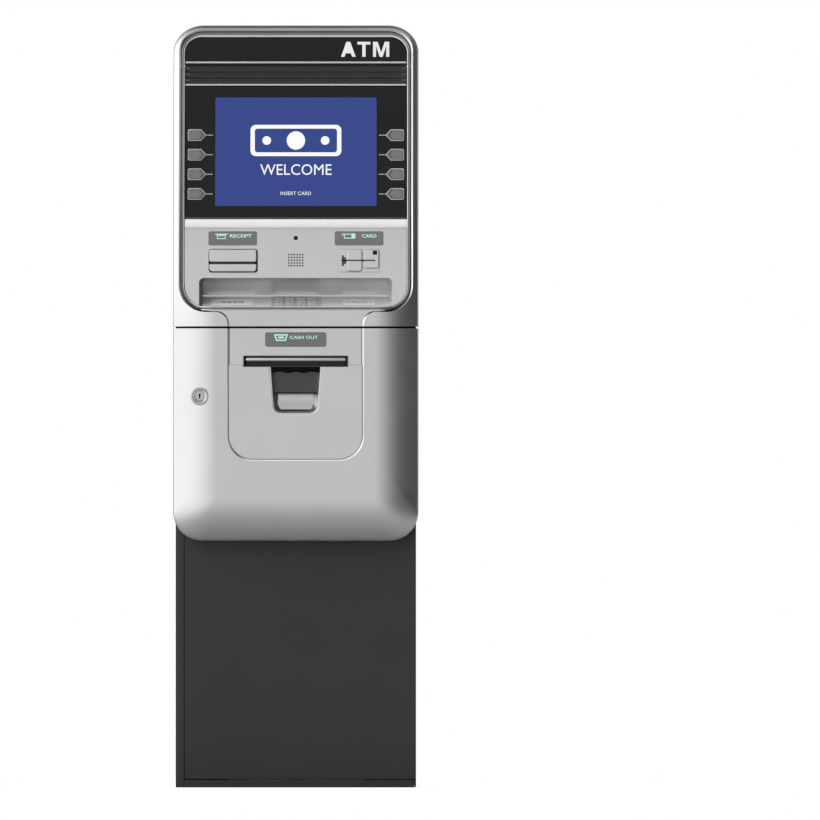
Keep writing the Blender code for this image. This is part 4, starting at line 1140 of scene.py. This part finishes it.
def card_icon(name, face, at, body):
    x, b = at
    outer = box_outline(x - 9, x + 9, b - 5, b + 4)
    inner = box_outline(x - 7.4, x + 7.4, b - 3.4, b + 2.4)
    ring_piece(name + "_card_mark", outer, inner, face, body)
    stripe = box_outline(x + 5, x + 12, b - 5, b + 4.6)
    slab(name + "_stripe_mark", stripe, 0.9, 1.0, face, "label_glow", body, 0)
    arrow = [(x - 13, b + 4), (x - 9, b + 4), (x - 11, b)]
    slab(name + "_arrow_mark", arrow, 0.9, 1.0, face, "label_glow", body, 0)


def ring_piece(name, outer, inner, face, body, material="label_glow", height=1.0):
    return band(name, ((outer, height), (inner, height)), face, material, body)


def build_cash_label():
    refine("cash_label", "label", 0.5)
    face = facing(-193.0)
    x, b = -27.3, 831.2
    outer = [(x - 13, b + 6.0), (x + 13, b + 6.0), (x + 9, b - 6.4), (x - 9, b - 6.4)]
    inner = [(x - 9.5, b + 3.4), (x + 9.5, b + 3.4), (x + 7, b - 4.2), (x - 7, b - 4.2)]
    ring_piece("cash_icon_tray", outer, inner, face, "lower_bezel", height=0.1)
    note = box_outline(x - 5.5, x + 5.5, b - 1.8, b + 1.8)
    slab("cash_icon_note", note, 0.02, 0.1, face, "label_glow", "lower_bezel", 0)
    at = (14.9, 831.4)
    lettering("cash_word", "CASH OUT", 6.0, face, at, "label_glow", "lower_bezel", 0.1, 51.5, 0.014)


def build_labels():
    label_plate("receipt_plate", -161.5, -71.6, 1001.0, 1027.7, receipt_icon, -137.5, "RECEIPT", -101.6, 40.5)
    label_plate("card_plate", 71.8, 161.9, 1001.0, 1027.7, card_icon, 98.0, "CARD", 135.5, 27.0)
    build_cash_label()
    lens = panel_plane(1014.9)
    slab("camera_lens", circle(0, 0, 4.0, 24), -0.5, 0.7, lens, "black_gloss", "fascia", 0.4, (), 4)
    grille = panel_plane(974.0)
    for i in range(6):
        for j in range(5):
            at = circle(5.1 * (i - 2.5), 5.2 * (j - 2), 1.55, 12)
            slab(f"speaker_hole_{i}_{j}", at, -0.1, 0.18, grille, "black", "fascia", 0)


def build_receipt_unit():
    """Mouth plate, the block above the slot, and the tear-off lip below it."""
    face = panel_plane(RECEIPT_Z)
    x = RECEIPT_X
    # A black plate under the frame shows in the gaps round the blocks and in the slot: painted shade.
    recess = round_rect(x - 45.6, x + 45.6, -22.6, 22.4, 6, 8)
    slab("receipt_mouth", recess, -6, 0.35, face, "black", "fascia", 0, ("receipt_bezel",))
    levels = []
    for inset, h in ((0, 0.2), (-0.5, 0.7), (0.2, 0.9), (0.8, 0.2)):
        half = 45.6 - inset
        levels.append((round_rect(x - half, x + half, -22.6 + inset, 22.4 - inset, 6 - inset, 8), h))
    band("receipt_frame", levels, face, "silver", "fascia", 40)
    upper = round_rect(x - 43.4, x + 43.4, -2.6, 20.6, 3, 6)
    slab("receipt_upper", upper, -4, 2.8, face, "silver", "fascia", 1.4, (), 4)
    lower = arc(x - 37.4, -14.6, 6, 180, 270, 8) + arc(x + 37.4, -14.6, 6, 270, 360, 8)
    lower += [(x + 43.4, -6.8), (x - 43.4, -6.8)]
    slab("receipt_lower", lower, -4, 2.4, face, "silver", "fascia", 1.3, (), 4)
    blade = box_outline(x - 41, x + 41, -6.2, -3.2)
    slab("receipt_blade", blade, -3.5, 0.55, face, "dark_plastic", "fascia", 0.2)
    refine("receipt_printer", "dark_plastic", 1.0, 3)
    refine("paper_roll", "paper", 0.5)


def build_card_reader():
    """Two rounded blocks that guide the card, with the slot across them and a lamp at the right."""
    face = panel_plane(CARD_Z)
    x = CARD_X
    # A thin ring of darker silver round the base plate, and darker silver under each block, show as dark
    # outlines: painted shadow gaps.
    plate = round_rect(x - 39, x + 38.4, -21.8, 22, 2, 4)
    slab("card_plate_painted_shadow", plate, 0.1, 0.32, face, "silver_painted_shade", "fascia", 0)
    inner = round_rect(x - 38.3, x + 37.7, -21.1, 21.3, 2, 4)
    slab("card_plate_base", inner, 0.2, 0.7, face, "silver", "fascia", 0.3, ("card_reader",))
    for tag, x0, x1, low in (("left", x - 23, x + 6.4, -21), ("right", x + 7.7, x + 37.4, -15.3)):
        shadow_outline = round_rect(x0, x1, low, 21, 4.5, 6)
        slab("card_mouth_painted_shadow_" + tag, shadow_outline, 0.5, 0.95, face, "silver_painted_shade", "fascia", 0.2)
    middle = round_rect(x - 22, x + 5.4, -20.2, 20.4, 4.5, 6)
    slab("card_mouth_left", middle, 0.5, 3.6, face, "silver", "fascia", 2.6, (), 6)
    right = round_rect(x + 8.6, x + 36.6, -14.4, 20.2, 3.5, 6)
    slab("card_mouth_right", right, 0.5, 3.1, face, "silver", "fascia", 2.2, (), 6)
    for sign in (-1, 1):
        hook = [(x - 32, sign * 2), (x - 32, sign * 10), (x - 28.5, sign * 10), (x - 28.5, sign * 6)]
        hook += [(x - 24.5, sign * 6), (x - 24.5, sign * 2)]
        slab(f"card_guide_{sign + 1}", hook, 0.5, 2.6, face, "duct", "fascia", 0.8)
    slab("card_slot", box_outline(x - 33, x + 30, -1.5, 1.5), 0.6, 2.0, face, "black", "fascia", 0.2)
    slab("card_slot_left", box_outline(x - 21.8, x + 5.2, -1.5, 1.5), 1, 3.72, face, "duct", "fascia", 0.3)
    slab("card_slot_right", box_outline(x + 8.8, x + 30, -1.5, 1.5), 1, 3.22, face, "duct", "fascia", 0.3)
    lamp = box_outline(x + 25.0, x + 33.2, 10.6, 18.6)
    slab("card_lamp", lamp, 2.2, 3.4, face, "black_gloss", "fascia", 0.3)
    case = box_outline(x - 31, x + 33, -17, 17)
    slab("card_reader_case", case, -45, -3, face, "dark_plastic", "fascia", 1.2)


# Tray, keypad and neck


def tray_profile():
    """Side view of the tray, from the lip over the shelf and up the wall to the overhang."""
    corners = [
        ((LIP_Y - 1.6, LIP_Z + 1.2), (0, 0)),
        ((LIP_Y + 1, LIP_Z + 0.5), (1.5, 1.5)),
        ((SHELF_REAR[0] + 0.5, SHELF_REAR[1] + 0.2), (6, 25)),
        ((TRAY_BACK_TOP[0] - 0.5, TRAY_BACK_TOP[1] + 2.4), (8, 8)),
        ((-164.0, TRAY_TOP_Z + 0.2), (0, 0)),
    ]
    points = []
    for i, ((y, z), (near, far)) in enumerate(corners):
        if near == 0:
            points.append((y, z))
            continue
        before = Vector(corners[i - 1][0]) - Vector((y, z))
        after = Vector(corners[i + 1][0]) - Vector((y, z))
        a = Vector((y, z)) + before.normalized() * near
        b = Vector((y, z)) + after.normalized() * far
        for k in range(9):
            t = k / 8
            p = a * (1 - t) ** 2 + Vector((y, z)) * 2 * t * (1 - t) + b * t**2
            points.append((p.x, p.y))
    return points


def resample(points, count):
    """Evenly spaced points along a line, keeping its bends."""
    lengths = [0.0]
    for (y0, z0), (y1, z1) in zip(points, points[1:]):
        lengths.append(lengths[-1] + math.hypot(y1 - y0, z1 - z0))
    result = []
    for i in range(count + 1):
        want = lengths[-1] * i / count
        k = max(j for j, value in enumerate(lengths) if value <= want + 1e-9)
        k = min(k, len(points) - 2)
        t = (want - lengths[k]) / (lengths[k + 1] - lengths[k])
        result.append(tuple(a + (b - a) * t for a, b in zip(points[k], points[k + 1])))
    return result


def scoop_depth(x, z):
    """How far the back wall is hollowed at a point."""
    depth = 0.0
    rise = min(1.0, max(0.0, (z - 910) / 12)) * min(1.0, max(0.0, (938 - z) / 8))
    for low, high in SCOOPS:
        inside = min(x - low, high - x)
        edge = min(1.0, max(0.0, inside / 16))
        depth = max(depth, edge * edge * (3 - 2 * edge))
    return 2.4 * depth * rise * (2 - rise)


def tray_depth(z):
    """Y of the shelf or the wall behind it at height z."""
    if z < SHELF_REAR[1]:
        share = (z - LIP_Z) / (SHELF_REAR[1] - LIP_Z)
        return LIP_Y + (SHELF_REAR[0] - LIP_Y) * share
    share = (z - SHELF_REAR[1]) / (TRAY_BACK_TOP[1] - SHELF_REAR[1])
    return SHELF_REAR[0] + (TRAY_BACK_TOP[0] - SHELF_REAR[0]) * min(1.0, share)


def build_tray_mouth():
    """Slanted side walls and overhang, rounded where they meet the panel."""
    centre_z = TRAY_TOP_Z - MOUTH_R
    left = [(-TRAY_HALF, LIP_Z + 0.6 + (centre_z - LIP_Z - 0.6) * i / 24) for i in range(24)]
    left += arc(-TRAY_HALF + MOUTH_R, centre_z, MOUTH_R, 180, 90, 10)
    outline = left + [(-x, z) for x, z in reversed(left)]
    rows = []
    for x, z in outline:
        front = bent(0, s_at(z, 2), 2.0)[1] - 0.1
        back = max(front + 1, tray_depth(z) + 1.0)
        side = 1 if x > 0 else -1
        near_wall = min(1.0, max(0.0, (abs(x) - 166) / 10))
        row = [(x + side * 0.9 * near_wall, front, z + 0.9 * (1 - near_wall))]
        for k in range(11):
            t = k / 10
            inward = 0.9 + 6.6 * t**0.8
            row.append((x - side * (inward - 0.9) * near_wall, front + 0.9 + (back - front - 0.9) * t, z))
        rows.append(row)
    mouth = make_object("tray_mouth", grid(rows), "tray", "fascia", (), 50)
    # The left side wall takes the darker copy of the tray silver: painted shade, as that wall faces away from
    # the key light.
    mouth.data.materials.append(MATERIALS["tray_painted_shade"])
    for face in mouth.data.polygons:
        if face.center.x < (-TRAY_HALF + 9) * MM:
            face.material_index = 1


def build_tray():
    profile = resample(tray_profile(), 120)
    rows = []
    for y, z in profile:
        row = []
        for j in range(141):
            x = -TRAY_HALF + 2 * TRAY_HALF * j / 140
            back = scoop_depth(x, z) if -125 < y < -95 and z > 908 else 0.0
            row.append((x, y + back, z))
        rows.append(row)
    tray = make_object("tray_surface", grid(rows), "tray", "fascia", ("tray_shelf",), 60)
    # The shelf takes the lighter copy of the tray silver: painted light where the tray faces up.
    tray.data.materials.append(MATERIALS["shelf"])
    for face in tray.data.polygons:
        if face.center.z < (SHELF_REAR[1] - 0.5) * MM:
            face.material_index = 1
    # A bright chrome strip along the shelf's rear edge stands for the highlight on the fillet there: painted
    # highlight.
    strip = box_outline(-176, 174, SHELF_REAR[1] + 1.7, SHELF_REAR[1] + 3.7)
    slab("tray_painted_highlight", strip, -2.5, 0, facing(SHELF_REAR[0] - 5.4), "bead", "fascia", 0.5)
    build_tray_mouth()


def build_neck():
    """Apron neck between the tray's lip and the split line."""
    neck = APRON_HALF - CHAMFER + 0.3
    low = FLARE_TOP_Z - FLARE_R + CHAMFER + 0.4
    inner_r = NECK_R + CHAMFER
    reach = FASCIA_HALF - RIM - FLARE_R - 0.4
    front = APRON_FRONT + 0.2
    levels = [(FASCIA_BOTTOM + 0.3 + (low - FASCIA_BOTTOM - 1.5) * i / 30, front) for i in range(31)]
    levels += [(low + 0.2, front + 0.4), (low + 0.8, front + 1.1), (low + 1.2, front + 2.2)]
    rows = []
    for z, y in levels:
        over = min(inner_r, z - (low - inner_r))
        half = neck if over < 0 else neck + inner_r - math.sqrt(max(0.0, inner_r**2 - over**2))
        half = reach if z > low - 0.6 else min(half, reach)
        rows.append([(half * (j / 20 - 1), y, z) for j in range(41)])
    make_object("neck_plate", grid(rows), "silver", "fascia", (), 40)


PIN_TEXT = ("1", "2", "3", "X", "4", "5", "6", "<", "7", "8", "9", "O", "*", "0", "#", "")


def build_keypad():
    place = shelf_plane()
    refine("keypad_housing", "pin_face", 0.35)
    for number, text in enumerate(PIN_TEXT, 1):
        node = f"pin_key_{number:02d}"
        refine(node, "pin_face", 0.9, 3)
        row, column = divmod(number - 1, 4)
        at = (PIN_PITCH * (column - 1.5), 19.2 * (1.5 - row) + 1.2)
        if text:
            size = 3.5 if text == "*" else 6.0
            lettering(node + "_mark", text, size, place, at, "black_ink", node, 2.68)
    left = round_rect(-156, -78, -22, 22, 2)
    right = round_rect(87, 147, -22, 22, 2)
    slab("shelf_label_left", left, 0.55, 1.0, place, "pale_label", "fascia", 0.2)
    slab("shelf_label_right", right, 0.55, 1.0, place, "pale_label", "fascia", 0.2)
    for k in range(4):
        dots = box_outline(-138 + 11 * k, -129 + 11 * k, -6, 8)
        slab(f"shelf_dots_{k}", dots, 1.0, 1.08, place, "grey_ink", "fascia", 0)
    oval = [(117 + 15 * math.cos(t * math.pi / 18), 1 + 8 * math.sin(t * math.pi / 18)) for t in range(36)]
    hole = [(117 + 12 * math.cos(t * math.pi / 18), 1 + 5 * math.sin(t * math.pi / 18)) for t in range(36)]
    ring_piece("shelf_oval", oval, hole, place, "fascia", "grey_ink", 1.08)
    for side in (-1, 1):
        arrow = [(117 + side * 24, 1), (117 + side * 19, 4.5), (117 + side * 19, -2.5)]
        slab(f"shelf_arrow_{side + 1}", arrow, 1.0, 1.08, place, "grey_ink", "fascia", 0)


# Cabinet, door and inside


def cabinet_front(z):
    """Y of the side panel's front edge at height z, on the hinge side and on the other side."""
    if z > SPLIT_Z + 0.02:
        curve = bent(0, s_at(z, -WALL_DEPTH), -WALL_DEPTH - 1.5)[1]
        return curve, curve
    if z < 13.8:
        return DOOR_FRONT, DOOR_FRONT
    return -94.0, DOOR_FRONT


def build_cabinet():
    levels = [0, 13.75, 13.82, 200, 400, 600, 800, SPLIT_Z, SPLIT_Z + 0.05]
    levels += [SPLIT_Z + 0.05 + (TOP_Z - SPLIT_Z - 0.05) * i / 60 for i in range(1, 61)]
    rows = []
    for z in levels:
        right, left = cabinet_front(z)
        r = REAR_CORNER_R
        row = [(-CABINET_HALF, left + (60 - left) * k / 6, z) for k in range(6)]
        row += [(x, y, z) for x, y in arc(-CABINET_HALF + r, BACK - 0.4 - r, r, 180, 90, 16)]
        row += [(x, BACK - 0.4, z) for x in (-95, 0, 95)]
        row += [(x, y, z) for x, y in arc(CABINET_HALF - r, BACK - 0.4 - r, r, 90, 0, 16)]
        row += [(CABINET_HALF, 60 - (60 - right) * k / 6, z) for k in range(1, 7)]
        rows.append(row)
    shell = make_object("cabinet_wrap", grid(rows), "charcoal", "cabinet", ("cabinet_shell",), 30)
    thicken(shell, SHEET)
    soften(shell, 0.5, 2, 60)
    bend = arc(-CABINET_HALF + 2.8, DOOR_FRONT + 2.8, 2.8, 180, 270, 6)
    line = [(-CABINET_HALF, DOOR_FRONT + 12), *bend, (JAMB_X, DOOR_FRONT), (JAMB_X, DOOR_FRONT + SHEET)]
    inner_x = -CABINET_HALF + SHEET + 0.4
    line += [(inner_x, DOOR_FRONT + SHEET), (inner_x, DOOR_FRONT + 12)]
    rows = [[(x, y, z) for x, y in line] for z in (0.05, SPLIT_Z - 0.05)]
    make_object("cabinet_jamb", loft(rows), "charcoal", "cabinet")
    rear = facing(BACK)
    for i in range(7):
        z = 1168 + 14 * i
        slot = round_rect(-70, 70, z - 3.2, z + 3.2, 3.1)
        slab(f"rear_vent_{i}", slot, 0.05, 0.25, rear, "black", "cabinet", 0)
        rim = round_rect(-71.6, 71.6, z - 4.8, z + 4.8, 4.7)
        ring_piece(f"rear_vent_rim_{i}", rim, slot, rear, "cabinet", "charcoal", 0.1)


def build_sheet_metal():
    for row in REFINED:
        refine(*row)


# Stage


def build_camera():
    data = bpy.data.cameras.new("camera")
    data.lens = CAMERA_LENS
    data.sensor_width = 36.0
    data.clip_start = 1.0
    data.clip_end = 300.0
    camera = bpy.data.objects.new("camera", data)
    bpy.context.scene.collection.objects.link(camera)
    x, y, z = CAMERA_AIM
    camera.location = Vector((x, y - CAMERA_DISTANCE, z)) * MM
    camera.rotation_euler = (math.radians(90), 0, 0)
    bpy.context.scene.camera = camera


def build_floor():
    """A pale disc that fades into the white surroundings."""
    points, faces = loft([[(x, y, FLOOR_Z) for x, y in circle(0, 0, r, 64)] for r in FLOOR_RADII], False)
    faces.append(tuple(range(64)))
    material = bpy.data.materials.new("floor")
    material.use_nodes = True
    nodes = Nodes(material.node_tree)
    shader = material.node_tree.nodes["Principled BSDF"]
    shader.inputs["Roughness"].default_value = 0.9
    shader.inputs["Specular IOR Level"].default_value = 0.0
    shader.inputs["Emission Color"].default_value = (1, 1, 1, 1)
    grain = nodes.noise(40, 4)
    pale = nodes.ramp(grain, [(0.3, (0.83, 0.83, 0.835)), (0.7, (0.86, 0.86, 0.86))])
    seen = nodes.add("ShaderNodeLightPath").outputs["Is Camera Ray"]
    nodes.link(nodes.math("MULTIPLY", seen, FLOOR_GLOW), shader.inputs["Emission Strength"])
    nodes.link(nodes.mix(seen, FLOOR_SEEN, pale), shader.inputs["Base Color"])
    place = nodes.add("ShaderNodeTexCoord")
    length = nodes.add("ShaderNodeVectorMath", operation="LENGTH")
    nodes.link(place.outputs["Object"], length.inputs[0])
    reach = nodes.math("DIVIDE", length.outputs["Value"], FLOOR_RADII[-1] * MM)
    fade = nodes.ramp(reach, [(0.1, 0.0), (0.3, 1.0)], "EASE")
    clear = nodes.add("ShaderNodeBsdfTransparent").outputs[0]
    output = material.node_tree.nodes["Material Output"]
    nodes.link(nodes.mix_shader(fade, shader.outputs[0], clear), output.inputs["Surface"])
    mesh = bpy.data.meshes.new("floor")
    mesh.from_pydata([Vector(p) * MM for p in points], [], faces)
    mesh.materials.append(material)
    floor = bpy.data.objects.new("floor", mesh)
    bpy.context.scene.collection.objects.link(floor)


def build_world():
    world = bpy.data.worlds.new("surroundings")
    bpy.context.scene.world = world
    world.use_nodes = True
    nodes = Nodes(world.node_tree)
    background = world.node_tree.nodes["Background"]
    place = nodes.add("ShaderNodeTexCoord")
    split = nodes.add("ShaderNodeSeparateXYZ")
    nodes.link(place.outputs["Generated"], split.inputs[0])
    x, y, z = split.outputs
    forward = nodes.math("MULTIPLY", y, -1.0)
    turn = nodes.math("DIVIDE", nodes.math("ARCTAN2", x, forward), 2 * math.pi)
    round_stops = [((angle + 180) / 360, value / SURROUND_STRENGTH) for angle, value in ROUND]
    sides = nodes.ramp(nodes.math("ADD", turn, 0.5), round_stops)
    tip = nodes.math("DIVIDE", nodes.math("ARCTAN2", z, forward), math.pi)
    lamp_stops = [(angle / 180, value / SURROUND_STRENGTH) for angle, value in OVERHEAD]
    lamp = nodes.ramp(tip, lamp_stops)
    across = nodes.ramp(nodes.math("MULTIPLY_ADD", x, 0.5, 0.5), [(0.62, 1.0), (0.74, 0.0)])
    height = nodes.ramp(nodes.math("ABSOLUTE", z), HEIGHT)
    below = nodes.math("MULTIPLY", z, -1.0)
    floor = nodes.ramp(below, [(at, value / SURROUND_STRENGTH) for at, value in GROUND])
    depth = nodes.ramp(below, [(0.1, 0.0), (0.3, 1.0)])
    ground = nodes.mix(depth, nodes.mix(1.0, sides, height, "MULTIPLY"), floor)
    total = nodes.mix(1.0, ground, nodes.mix(1.0, lamp, across, "MULTIPLY"), "ADD")
    nodes.link(total, background.inputs["Color"])
    background.inputs["Strength"].default_value = SURROUND_STRENGTH
    plain = nodes.add("ShaderNodeBackground")
    plain.inputs["Color"].default_value = (1, 1, 1, 1)
    seen = nodes.add("ShaderNodeLightPath").outputs["Is Camera Ray"]
    output = world.node_tree.nodes["World Output"]
    both = nodes.mix_shader(seen, background.outputs[0], plain.outputs[0])
    nodes.link(both, output.inputs["Surface"])


def build_lights():
    for name, place, power, size in LIGHTS:
        data = bpy.data.lights.new(name, "AREA")
        data.energy = power
        data.size = size
        lamp = bpy.data.objects.new(name, data)
        bpy.context.scene.collection.objects.link(lamp)
        lamp.location = place
        direction = Vector(LAMP_AIM) - lamp.location
        lamp.rotation_euler = direction.to_track_quat("-Z", "Y").to_euler()
        lamp.visible_camera = False
        lamp.visible_glossy = False


def main():
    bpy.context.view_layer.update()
    make_materials()
    build_camera()
    build_world()
    build_lights()
    build_floor()
    build_cabinet()
    build_sheet_metal()
    build_fascia_shell()
    build_rear_cover()
    build_lower_bezel()
    build_cash_panel()
    build_cash_slot()
    build_finger_well()
    build_bezel_lock()
    build_header()
    build_trim()
    build_display()
    build_screen()
    build_service_panel()
    build_labels()
    build_receipt_unit()
    build_card_reader()
    build_tray()
    build_neck()
    build_keypad()
    bpy.context.scene.view_settings.view_transform = "Standard"


main()
